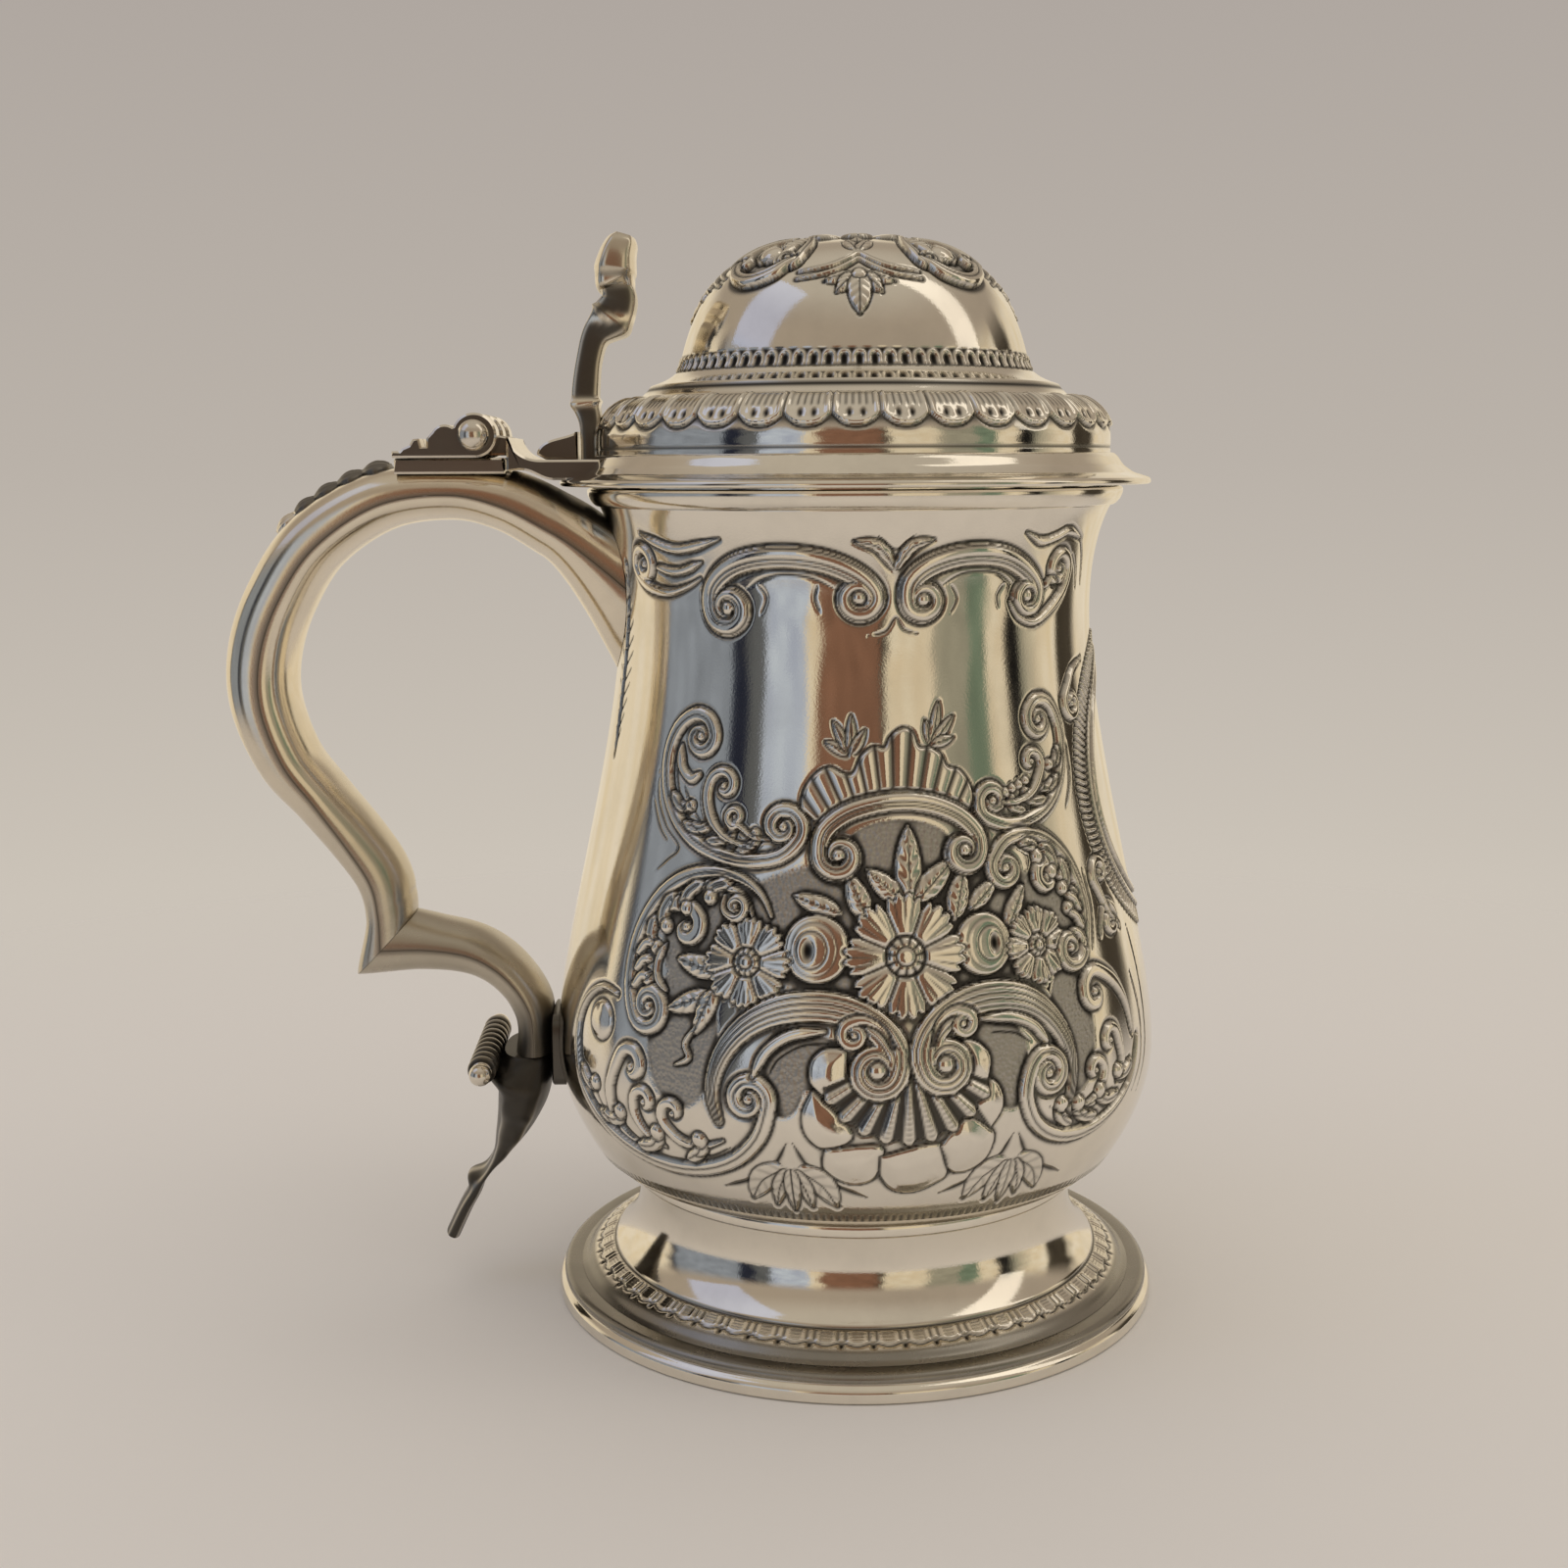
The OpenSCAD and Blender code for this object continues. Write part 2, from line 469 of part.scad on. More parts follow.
// Place along the handle whose crest lies at x, found by halving
function handle_place(x, lo, hi, n) = n == 0 ? lo : let (m = (lo + hi) / 2)
    through(handle_stations, m)[0] > x ? handle_place(x, m, hi, n - 1) : handle_place(x, lo, m, n - 1);
module husk_drop() {
    first = handle_place(leaf_back_x - 0.5, 1, 5, 12);
    last = first + drop_l / 13;
    rows = husks * 6;
    wide = [for (k = [-3:3]) k / 3];
    fine = [for (i = [0:rows]) through(handle_stations, mix(first, last, i / rows))];
    p = [for (s = fine) [s[0], s[1]]];
    rings = [for (i = [0:rows]) let (s = fine[i], n = -side(p, i), t = i / rows,
        w = drop_w * (1 - 0.55 * t) * (0.62 + 0.38 * abs(sin(180 * husks * t))),
        top = 0.3 + drop_h * (1 - 0.3 * t) * (0.3 + 0.7 * abs(sin(180 * husks * t))))
        concat([for (k = wide) let (y = k * w / 2, d = seam + s[2]
                    * pow(1 - pow(abs(2 * y / s[4]), back_square), 1 / back_square))
                    [s[0] + n[0] * d, y, s[1] + n[1] * d]],
               [for (k = back(wide)) let (y = k * w / 2, d = seam + s[2] + top * (1 - 0.8 * k * k))
                    [s[0] + n[0] * d, y, s[1] + n[1] * d]])];
    color("gray") skin(rings);
}
// Hinge: the leaf on the handle ends this far behind the pin
leaf_back = 14.7;
leaf_back_x = hinge_x - leaf_back;
module pin_hole() {
    translate([hinge_x, 0, hinge_z]) rotate([90, 0, 0])
        cylinder(r = pin_r + pin_clear, h = 2 * hinge_l, center = true);
}
// Room for the turning lugs of the cover, in the two gaps between the three lugs of the handle
module lug_slots() {
    slot_w = lug_w + 2 * lug_gap;
    for (s = [-1, 1]) translate([hinge_x, s * lug_pitch, hinge_z]) {
        rotate([90, 0, 0]) cylinder(r = knuckle_r + seam, h = slot_w, center = true);
        translate([0, -slot_w / 2, -2 * knuckle_r]) cube([3 * knuckle_r, slot_w, 4 * knuckle_r]);
    }
}
module hinge_bed() {
    color("darkgray") translate([leaf_back_x, -hinge_l / 2, seat_z + seam])
        cube([leaf_back - 1, hinge_l, bed_t]);
}
// Stepped mouldings behind the lugs: [x from the pin, height above the bed]
leaf_steps = [[-leaf_back, 1.2], [-13.2, 1.2], [-12.8, 1.7], [-11.6, 2.2], [-10.9, 3.3], [-9.8, 3.4],
              [-9.4, 1.9], [-8.6, 1.9], [-8.5, 3.4], [-7.6, 4.2]];
module hinge_handle_leaf() {
    color("lightgray") difference() {
        translate([hinge_x, 0, hinge_z]) union() {
            across(hinge_l) circle(r = knuckle_r);
            across(hinge_l) translate([-5.2, -0.7]) circle(r = 2.6);
            across(hinge_l) polygon(concat([[-leaf_back, -knuckle_r]],
                [for (p = leaf_steps) [p[0], p[1] - knuckle_r]],
                [[-5.2, 0], [0, 0], [0, -knuckle_r + 0.6], [-1.2, -knuckle_r]]));
        }
        pin_hole();
        lug_slots();
    }
}
module hinge_pin() {
    color("white") translate([hinge_x, 0, hinge_z]) rotate([90, 0, 0])
        cylinder(r = pin_r, h = hinge_l, center = true);
}
module pin_balls() {
    color("white") for (s = [-1, 1]) difference() {
        translate([hinge_x, s * (hinge_l / 2 + ball_r * 0.45), hinge_z]) sphere(r = ball_r);
        translate([hinge_x, 0, hinge_z]) cube([20, hinge_l + 2 * seam, 20], center = true);
    }
}
module lid_flange() {
    r = bezel_r + seam;
    color("gainsboro") turned([[r, lid_z], [flange_r - 0.3, lid_z], [flange_r, lid_z + flange_t / 2],
        [flange_r - 0.3, lid_z + flange_t], [drum_r + 2, drum_z - flange_rise * 0.35],
        [drum_r + 0.3, drum_z], [r, drum_z]]);
}
module lid_bezel() {
    color("darkgray") turned([[bezel_r - bezel_t, rim_z - bezel_h], [bezel_r - 0.4, rim_z - bezel_h],
        [bezel_r, rim_z - bezel_h + 0.6], [bezel_r, drum_z], [bezel_r - bezel_t, drum_z]]);
}
module lid_dome() {
    color("lightsteelblue") turned(concat(lid_outside, back(lid_inside)));
}
// Everything inside the cover's outer face, for seating a piece on it
module lid_space(gap) {
    turned(concat([[0, drum_z - 1], [drum_r + gap, drum_z - 1]],
        [for (p = lid_outside) [p[0] + gap, p[1]]]));
}
module hinge_lid_leaf() {
    lug_r = knuckle_r - swing_clear;
    low = drum_z + 0.1 - hinge_z;
    end_x = knuckle_r + 1.65;
    reach = -hinge_x - drum_r + 2;
    color("silver") difference() {
        translate([hinge_x, 0, hinge_z]) union() {
            across(hinge_l) polygon(concat([[end_x, low], [end_x, -0.4]],
                bezier([[end_x + 0.4, -0.4], [end_x + 0.9, -2.6], [end_x + 3, low + leaf_t],
                        [end_x + 6, low + leaf_t]], 6), [[reach, low + leaf_t], [reach, low]]));
            for (s = [-1, 1]) translate([0, s * lug_pitch, 0]) across(lug_w) union() {
                circle(r = lug_r);
                polygon([[0, -lug_r], [end_x + 0.3, -lug_r], [end_x + 0.3, -0.4], [0, 0.6]]);
            }
        }
        pin_hole();
        lid_space(seam);
    }
}
module thumb_bracket() {
    z = thumb_z;
    x1 = -(drum_r + 3.8);
    x0 = x1 - 7.4;
    color("gray") across(stem_w + 2) polygon(concat([[x0 + 1.6, z], [x0, z + 0.9]],
        bezier([[x0, z + 1.7], [x0 + 3, z + 3], [x1 - 3.6, z + 4], [x1, z + 6]], 6), [[x1, z]]));
}
module thumbpiece() {
    color("white") skin([for (r = bar_rings(thumb_stations, 2.6))
        [for (p = r) [min(p[0], lid_front(p[1], p[2])), p[1], p[2]]]]);
}

foot_wire();
foot();
foot_collar();
body();
lip_wire();
handle_back();
handle_belly();
scroll_back();
scroll_belly();
lower_pad();
handle_roll();
shield_terminal();
husk_drop();
hinge_bed();
hinge_handle_leaf();
hinge_pin();
pin_balls();
lid_flange();
lid_bezel();
lid_dome();
hinge_lid_leaf();
thumb_bracket();
thumbpiece();
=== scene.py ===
"""Looks of a silver baluster tankard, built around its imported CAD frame.

Sizes are in millimetres unless a name says otherwise, and MM turns them into metres.
"turn" is degrees about the axis of the body, from the face towards -Y (0) to the one towards +X (90).
"""

import math

import bpy
import numpy as np
from mathutils import Matrix, Vector


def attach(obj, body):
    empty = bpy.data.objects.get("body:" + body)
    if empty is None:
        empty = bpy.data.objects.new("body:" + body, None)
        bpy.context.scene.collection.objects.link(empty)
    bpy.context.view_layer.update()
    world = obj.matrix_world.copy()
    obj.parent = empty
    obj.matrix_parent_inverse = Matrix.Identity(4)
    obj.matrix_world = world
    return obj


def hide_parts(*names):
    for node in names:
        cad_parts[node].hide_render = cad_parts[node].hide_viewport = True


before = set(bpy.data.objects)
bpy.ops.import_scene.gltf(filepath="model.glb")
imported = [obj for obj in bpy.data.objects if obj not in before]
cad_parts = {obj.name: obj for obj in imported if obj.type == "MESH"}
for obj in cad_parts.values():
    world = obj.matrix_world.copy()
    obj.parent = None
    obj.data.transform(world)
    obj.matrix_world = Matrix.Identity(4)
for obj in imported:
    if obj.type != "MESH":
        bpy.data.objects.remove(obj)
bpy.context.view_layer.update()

MM = 0.001

# Body: heights and radii as in the CAD source, and the pulls of its curves
FOOT_H, FOOT_SEAT_R = 26.5, 43.0
BASE_R, BASE_Z, BASE_PULL = 50.3, 30.0, (53.38, 34.55)
BELLY_R, BELLY_Z, BELLY_LOW_PULL, BELLY_HIGH_PULL = 57.3, 50.0, 42.01, 67.0
NECK_R, NECK_Z, NECK_LOW_PULL, NECK_HIGH_PULL = 43.9, 133.0, 108.0, 141.6
MOUTH_R, RIM_Z, MOUTH_PULL = 47.4, 154.5, (45.7, 148.0)
LIP_H, LIP_T = 3.5, 2.2
BODY_WALL = 1.0
FLOOR_R, FLOOR_BEND_R, FLOOR_BEND_RISE = 40.0, 46.5, 2.2
UNDER_BEND = (47.5, 27.55)
SEAM = 0.05

# Cover: heights and radii, and the bends and pulls of its profile in radius and height
LID_Z, DRUM_Z, SHOULDER_Z, STEP_Z = 154.8, 157.7, 163.0, 170.3
HOLLOW_Z, DOME_Z, TOP_Z = 172.8, 176.4, 198.8
FLANGE_R, DRUM_R, SHOULDER_R, STEP_R, DOME_R = 54.7, 47.2, 40.3, 37.6, 32.2
FLANGE_HOLLOW, FLANGE_TOP = ((51.4, 156.9), (49.6, 158.2), (48.5, 159.8)), 160.4
STEP_BENDS = ((39.2, 170.9), (38.1, 172.3))
HOLLOW_PULLS, DOME_PULLS = ((34.63, 173.7), (32.8, 174.8)), ((28.3, 193.9), (20, TOP_Z))
LID_WALL = 0.9
BEZEL_R, BEZEL_T, BEZEL_LOW = 45.0, 1.2, 150.5

# Foot: heights and radii, and the bends and pulls of its profile in radius and height
FOOT_R, FOOT_WALL = 58.0, 1.0
FOOT_WIRE_H, FOOT_WIRE_W = 5.0, 6.0
CREASE_R, CREASE_Z = 46.9, 9.4
FOOT_PULLS, SLOPE_BENDS = ((41, 19.3), (41.6, 13.85)), ((47.1, 9.0), (51.6, 6.5), (52.6, 5.5))
SLOPE_R, SLOPE_END_R = 52.0, 53.6
COLLAR_H, COLLAR_T, COLLAR_IN_LOW, COLLAR_IN_HIGH = 2.4, 0.9, 42.5, 43.1

# Spacing of the fine grid that carries the chasing
GRAIN = 0.3


# Curves

def bezier(p0, p1, p2, p3, count):
    """Points along a cubic curve, both ends included."""
    t = np.linspace(0, 1, count)[:, None]
    p0, p1, p2, p3 = (np.array(p, float) for p in (p0, p1, p2, p3))
    return (1 - t) ** 3 * p0 + 3 * (1 - t) ** 2 * t * p1 + 3 * (1 - t) * t ** 2 * p2 + t ** 3 * p3


def through(points, steps):
    """Smooth curve through every point, with a number of steps from each to the next."""
    p = np.asarray(points, float)
    p = np.concatenate([p[:1], p, p[-1:]])
    out = []
    for a, b, c, d in zip(p, p[1:], p[2:], p[3:]):
        for t in np.arange(steps) / steps:
            out.append(0.5 * (2 * b + (c - a) * t + (2 * a - 5 * b + 4 * c - d) * t ** 2
                              + (3 * b - a - 3 * c + d) * t ** 3))
    out.append(p[-1])
    return np.array(out)


def even(points, gap):
    """The same line with points an even gap apart."""
    p = np.asarray(points, float)
    run = np.concatenate([[0], np.cumsum(np.linalg.norm(np.diff(p, axis=0), axis=1))])
    places = np.linspace(0, run[-1], max(2, round(run[-1] / gap) + 1))
    return np.stack([np.interp(places, run, p[:, k]) for k in range(p.shape[1])], axis=1)


def rounded(points, radius, steps=4):
    """A profile whose inner corners are rounded off."""
    p = np.asarray(points, float)
    out = [p[0]]
    for a, b, c in zip(p, p[1:], p[2:]):
        before = b + (a - b) * min(0.45, radius / np.linalg.norm(a - b))
        after = b + (c - b) * min(0.45, radius / np.linalg.norm(c - b))
        for t in np.linspace(0, 1, steps):
            out.append((1 - t) ** 2 * before + 2 * t * (1 - t) * b + t ** 2 * after)
    out.append(p[-1])
    return np.array(out)


def ramp(value, low, high):
    """0 below low, 1 above high, and smooth between."""
    t = np.clip((value - low) / (high - low), 0, 1)
    return t * t * (3 - 2 * t)


def bell(offset, reach):
    """1 where there is no offset, and next to nothing beyond twice the reach."""
    return np.exp(-(offset / reach) ** 2)


def spin(radii, heights, turns):
    """Grid of points: one row for each radius and height, one column for each turn."""
    a = np.radians(turns)
    return np.stack([np.outer(radii, np.sin(a)), np.outer(radii, -np.cos(a)),
                     np.outer(heights, np.ones(len(a)))], axis=2)


def normals(line):
    """Unit normals of a line of points, to its right."""
    slope = np.gradient(np.asarray(line, float), axis=0)
    slope /= np.linalg.norm(slope, axis=1)[:, None]
    return np.stack([slope[:, 1], -slope[:, 0]], axis=1)


# Meshes

RING = np.linspace(0, 360, 360, endpoint=False)


def lay(build, line, turns, height, patina_and_shade, matting):
    """A turned surface with its chasing."""
    out = normals(line)
    points = spin(line[:, 0], line[:, 1], turns) + spin(out[:, 0], out[:, 1], turns) * height[..., None]
    build.grid(points, patina_and_shade=patina_and_shade, matting=matting)


class Build:
    """Collects grids of points into one mesh piece."""

    def __init__(self):
        self.points, self.faces, self.marks, self.caps = [], [], [], []
        self.count = 0

    def grid(self, points, wrap=True, patina_and_shade=0.0, matting=0.0):
        """Rows and columns of points, joined by quads; wrap joins the last column to the first."""
        rows, columns = points.shape[:2]
        index = np.arange(rows * columns).reshape(rows, columns) + self.count
        here = index if wrap else index[:, :-1]
        beside = np.roll(index, -1, axis=1) if wrap else index[:, 1:]
        quads = np.stack([here[:-1], beside[:-1], beside[1:], here[1:]], axis=2)
        self.points.append(points.reshape(-1, 3))
        self.faces.append(quads.reshape(-1, 4))
        marks = np.zeros((rows, columns, 2))
        marks[..., 0] = patina_and_shade
        marks[..., 1] = matting
        self.marks.append(marks.reshape(-1, 2))
        self.count += rows * columns
        return self

    def cap(self, ring, patina_and_shade=0.0):
        """One flat face inside a ring of points."""
        self.caps.append(np.arange(len(ring)) + self.count)
        self.points.append(np.asarray(ring, float))
        self.marks.append(np.tile((patina_and_shade, 0.0), (len(ring), 1)))
        self.count += len(ring)
        return self

    def piece(self, name, body, slot, *nodes, sharp=None, finish=None):
        """The collected mesh as a piece that rides on a body and stands for CAD nodes."""
        points = np.concatenate(self.points) * MM
        quads = np.concatenate(self.faces)
        sizes = [4] * len(quads) + [len(cap) for cap in self.caps]
        corners = np.concatenate([quads.ravel()] + self.caps)
        mesh = bpy.data.meshes.new(name)
        mesh.vertices.add(len(points))
        mesh.vertices.foreach_set("co", points.astype(np.float32).ravel())
        mesh.loops.add(len(corners))
        mesh.loops.foreach_set("vertex_index", corners.astype(np.int32))
        mesh.polygons.add(len(sizes))
        mesh.polygons.foreach_set("loop_start", (np.cumsum(sizes) - sizes).astype(np.int32))
        mesh.update(calc_edges=True)
        mesh.polygons.foreach_set("use_smooth", np.ones(len(sizes), bool))
        marks = np.concatenate(self.marks).astype(np.float32)
        for column, title in enumerate(("patina_and_shade", "matting")):
            attribute = mesh.attributes.new(title, "FLOAT", "POINT")
            attribute.data.foreach_set("value", np.ascontiguousarray(marks[:, column]))
        if sharp:
            mesh.set_sharp_from_angle(angle=math.radians(sharp))
        mesh.materials.append(SILVER[finish or slot])
        obj = bpy.data.objects.new(name, mesh)
        bpy.context.scene.collection.objects.link(obj)
        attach(obj, body)
        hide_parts(*nodes)


# Materials

def feed(tree, socket, value):
    """Links a socket to another one, or sets it to a plain value."""
    if isinstance(value, bpy.types.NodeSocket):
        tree.links.new(value, socket)
    else:
        socket.default_value = value


def node_maker(tree):
    """A function that adds a node with its settings and inputs to a tree and gives one of its outputs."""
    def add(kind, output, inputs=None, **settings):
        node = tree.nodes.new("ShaderNode" + kind)
        for key, value in settings.items():
            setattr(node, key, value)
        for key, value in (inputs or {}).items():
            feed(tree, node.inputs[key], value)
        return node.outputs[output]

    return add


def blend(add, share, low, high, kind="MIX"):
    """A colour a share of the way from one to another, or the second laid over the first in another kind."""
    return add("Mix", "Result", {"Factor": share, "A": low, "B": high}, data_type="RGBA", blend_type=kind)


def sum_of(add, value, scale, plus):
    """A value times a scale, plus another one."""
    return add("Math", "Value", {0: value, 1: scale, 2: plus}, operation="MULTIPLY_ADD")


def new_material(name):
    """A material, its node tree, and the function that adds nodes to it."""
    material = bpy.data.materials.new(name)
    material.use_nodes = True
    return material, material.node_tree, node_maker(material.node_tree)


def finish_shader(tree, inputs):
    """Sets or links the inputs of a material's own shader."""
    for key, value in inputs.items():
        feed(tree, tree.nodes["Principled BSDF"].inputs[key], value)


# Dark colour for patina and for painted shade
OXIDE_AND_SHADE = (0.018, 0.016, 0.014, 1)
GROUND_TONE = (0.50, 0.475, 0.43, 1)
# What smudges take from the tone and add to the roughness, and what matting and dark add to it
SMUDGE_TONE, SMUDGE_ROUGH, MATTING_ROUGH, DARK_ROUGH = 0.9, 0.08, 0.34, 0.3
POLISH_MARKS = 0.03


def silver(name, tone, gloss, shade_gap):
    """Warm polished silver with smudges and fine polishing marks, darkened by its patina_and_shade marks and
    by painted shade from ambient occlusion in narrow hollows and gaps between parts.
    gloss is the roughness of the polish; shade_gap is the width, in metres, of a hollow that gets painted
    shade."""
    material, tree, add = new_material(name)

    place = add("TexCoord", "Object")
    smudge = add("TexNoise", "Fac", {"Vector": place, "Scale": 85.0, "Detail": 4.0, "Roughness": 0.6})
    polish = add("TexNoise", "Fac", {"Vector": place, "Scale": 2600.0, "Detail": 2.0})
    stipple = add("TexVoronoi", "Distance", {"Vector": place, "Scale": 1300.0}, feature="F1")
    # patina_and_shade: patina in chased grooves and hollows, plus a painted shadow under the hinge and a
    # painted highlight on the thumbpiece
    groove = add("Attribute", "Fac", attribute_name="patina_and_shade")
    matting = add("Attribute", "Fac", attribute_name="matting")
    # Painted shade: ambient occlusion darkens the colour in narrow hollows and gaps between parts
    hollow = add("AmbientOcclusion", "AO", {"Distance": shade_gap}, samples=6)
    shade = add("MapRange", "Result", {"Value": hollow, "From Min": 0.55, "From Max": 0.1, "To Max": 0.55})
    dark = add("Math", "Value", {0: groove, 1: shade}, operation="MAXIMUM")

    smudged = tuple(SMUDGE_TONE * c for c in tone[:3]) + (1,)
    darkening = add("MapRange", "Result", {"Value": smudge, "From Min": 0.45, "From Max": 0.75})
    colour = blend(add, matting, blend(add, darkening, tone, smudged), GROUND_TONE)
    colour = blend(add, dark, colour, OXIDE_AND_SHADE)
    haze = add("MapRange", "Result", {"Value": smudge, "From Min": 0.3, "From Max": 0.8,
                                      "To Min": gloss, "To Max": gloss + SMUDGE_ROUGH})
    rough = sum_of(add, dark, DARK_ROUGH, sum_of(add, matting, MATTING_ROUGH, haze))
    punches = add("Math", "Value", {0: stipple, 1: matting}, operation="MULTIPLY")
    marks = sum_of(add, polish, POLISH_MARKS, punches)
    bump = add("Bump", "Normal", {"Strength": 0.8, "Distance": 0.0003, "Height": marks})
    finish_shader(tree, {"Metallic": 1.0, "Base Color": colour, "Roughness": rough, "Normal": bump})
    return material


SILVER = {name: silver(name, tone, gloss, shade_gap) for name, tone, gloss, shade_gap in (
    ("silver_chased", (0.87, 0.82, 0.725, 1), 0.05, 0.0004),
    ("silver_plain", (0.88, 0.825, 0.72, 1), 0.05, 0.0005),
    ("silver_cast", (0.82, 0.76, 0.66, 1), 0.10, 0.0010),
    ("silver_handle", (0.84, 0.76, 0.62, 1), 0.13, 0.0005))}


# Chasing

EVERYWHERE = np.s_[:, :]
GROOVE = 0.2
FLORETS = 11
# Lengthwise grooves of a moulding: two bands, an arch with a broad outer band, and a ribbon of five
TWIN = (0.15,)
ARCHED = (0.78, -0.12, -0.5)
RIBBON = (0.6, 0.2, -0.2, -0.6)
# A curled leaf tip, in shares of its reach along the path and away from it
FROND = ((0.0, 0.0), (0.4, 0.1), (0.78, 0.3), (0.98, 0.62), (0.94, 0.9))


class Relief:
    """A surface unrolled on a grid: its columns are turns, its rows are places along the profile.
    It holds the height of the chasing, the dark patina in its grooves and the matting of its ground."""

    def __init__(self, turns, places, radii):
        self.turns, self.places, self.radii = turns, places, radii
        shape = (len(places), len(turns))
        self.height, self.patina_and_shade, self.matting = (np.zeros(shape) for _ in range(3))

    def per_degree(self, place):
        """Millimetres along the surface for one degree of turn."""
        return math.radians(np.interp(place, self.places, self.radii))

    def window(self, points, margin):
        """The part of the grid near some points, its x and y in millimetres, and the points there."""
        points = np.asarray(points, float)
        scale = self.per_degree(points[:, 1].mean())
        low, high = points.min(axis=0), points.max(axis=0)
        columns = np.searchsorted(self.turns, (low[0] - margin / scale, high[0] + margin / scale))
        rows = np.searchsorted(self.places, (low[1] - margin, high[1] + margin))
        area = (slice(*rows), slice(*columns))
        x, y = np.meshgrid(self.turns[area[1]] * scale, self.places[area[0]])
        return area, x, y, points * (scale, 1)

    def paint(self, area, mask, height, patina_and_shade=0.0, matting=0.0):
        """Lays a form over what is there."""
        for grid, value in ((self.height, height), (self.patina_and_shade, patina_and_shade), (self.matting, matting)):
            grid[area] += mask * (value - grid[area])

    def stain(self, marks):
        """Darkens the whole surface by marks, where it isn't darker yet."""
        self.patina_and_shade = np.maximum(self.patina_and_shade, marks)

    def cut(self, area, strength, depth):
        """Sinks a groove, which darkens."""
        self.height[area] -= depth * strength
        self.patina_and_shade[area] = np.maximum(self.patina_and_shade[area], np.clip(strength, 0, 1))

    def engrave(self, *paths, half=0.22, depth=0.22):
        """Lines cut along paths, which fade at both ends."""
        for path in paths:
            area, x, y, line = self.window(through(path, 5), 3 * half)
            gap, _, share = nearest(x, y, line)
            width = half * np.clip(6 * np.minimum(share, 1 - share), 0.25, 1)
            self.cut(area, bell(gap, width), depth)

    def moulding(self, path, half, height=0.7, grooves=(), ends=(0.35, 0.35), steps=4):
        """A raised moulding along a path, with grooves at places from its right edge (-1) to its left (1)."""
        area, x, y, line = self.window(through(path, steps), half + 1.2)
        gap, side, share = nearest(x, y, line)
        width = half * np.interp(share, (0, 0.22, 0.78, 1), (ends[0], 1, 1, ends[1]))
        across = np.clip(gap / width, 0, 1)
        crown = np.sqrt(1 - across ** 3)
        patina_and_shade = np.zeros(x.shape)
        for groove in grooves:
            dark = bell((side * across - groove) * width, GROOVE) * ramp(width, 0.45, 0.8)
            crown = crown - 0.3 * dark
            patina_and_shade = np.maximum(patina_and_shade, 0.9 * dark)
        mask = 1 - ramp(gap, width - 0.12, width + 0.12)
        self.paint(area, mask, height * np.minimum(1, width / half + 0.3) * crown, patina_and_shade)
        self.cut(area, bell(gap - width - 0.2, 0.26), 0.26)

    def volute(self, last, centre, turns):
        """Points that wind inwards from a point round a centre; positive turns go anticlockwise."""
        scale = self.per_degree(centre[1])
        x, y = (last[0] - centre[0]) * scale, last[1] - centre[1]
        radius, start = math.hypot(x, y), math.atan2(y, x)
        steps = round(abs(turns) * 8)
        points = []
        for k in range(1, steps + 1):
            r = radius * (1 - 0.76 * k / steps)
            a = start + 2 * math.pi * turns * k / steps
            points.append((centre[0] + r * math.cos(a) / scale, centre[1] + r * math.sin(a)))
        return points

    def scroll(self, path, half, start=None, end=None, height=0.7, grooves=(), ends=(0.4, 0.4)):
        """A moulding that winds into volutes; start and end are (centre turn, centre place, turns)."""
        path = list(path)
        before = self.volute(path[0], start[:2], start[2])[::-1] if start else []
        after = self.volute(path[-1], end[:2], end[2]) if end else []
        self.moulding(before + path + after, half, height, grooves, ends, steps=3)
        for spec in (start, end):
            if spec:
                self.bead(spec[:2], half * 0.62, height * 0.9)

    def curl(self, path, half, end, ends=(0.2, 0.5)):
        """A leafy scroll that starts thin and winds into one volute."""
        self.scroll(path, half, end=end, ends=ends)

    def fronds(self, path, count, reach, half, side, span=(0.15, 0.9)):
        """Curled leaf tips that spring from one side of a path, 1 for its left and -1 for its right."""
        line = through(path, 8)
        for share in np.linspace(*span, count):
            k = min(len(line) - 2, int(share * (len(line) - 1)))
            scale = np.array([self.per_degree(line[k, 1]), 1])
            way = (line[k + 1] - line[k]) * scale
            way /= np.linalg.norm(way)
            out = side * np.array([-way[1], way[0]])
            size = reach * (0.65 + 0.35 * math.sin(math.pi * share))
            points = [line[k] + size * (a * way + b * out) / scale for a, b in FROND]
            self.moulding(points, half, 0.6, (0.1,), ends=(0.25, 0.9))
            self.bead(points[-1], 1.2 * half, 0.75)

    def bead(self, centre, radius, height=0.6):
        """A round boss with a groove about it."""
        area, x, y, middle = self.window([centre], radius + 0.8)
        gap = np.hypot(x - middle[0, 0], y - middle[0, 1])
        crown = np.sqrt(np.clip(1 - (gap / radius) ** 2, 0, 1))
        self.paint(area, 1 - ramp(gap, radius - 0.1, radius + 0.1), height * crown)
        self.cut(area, bell(gap - radius - 0.15, 0.2), 0.2)

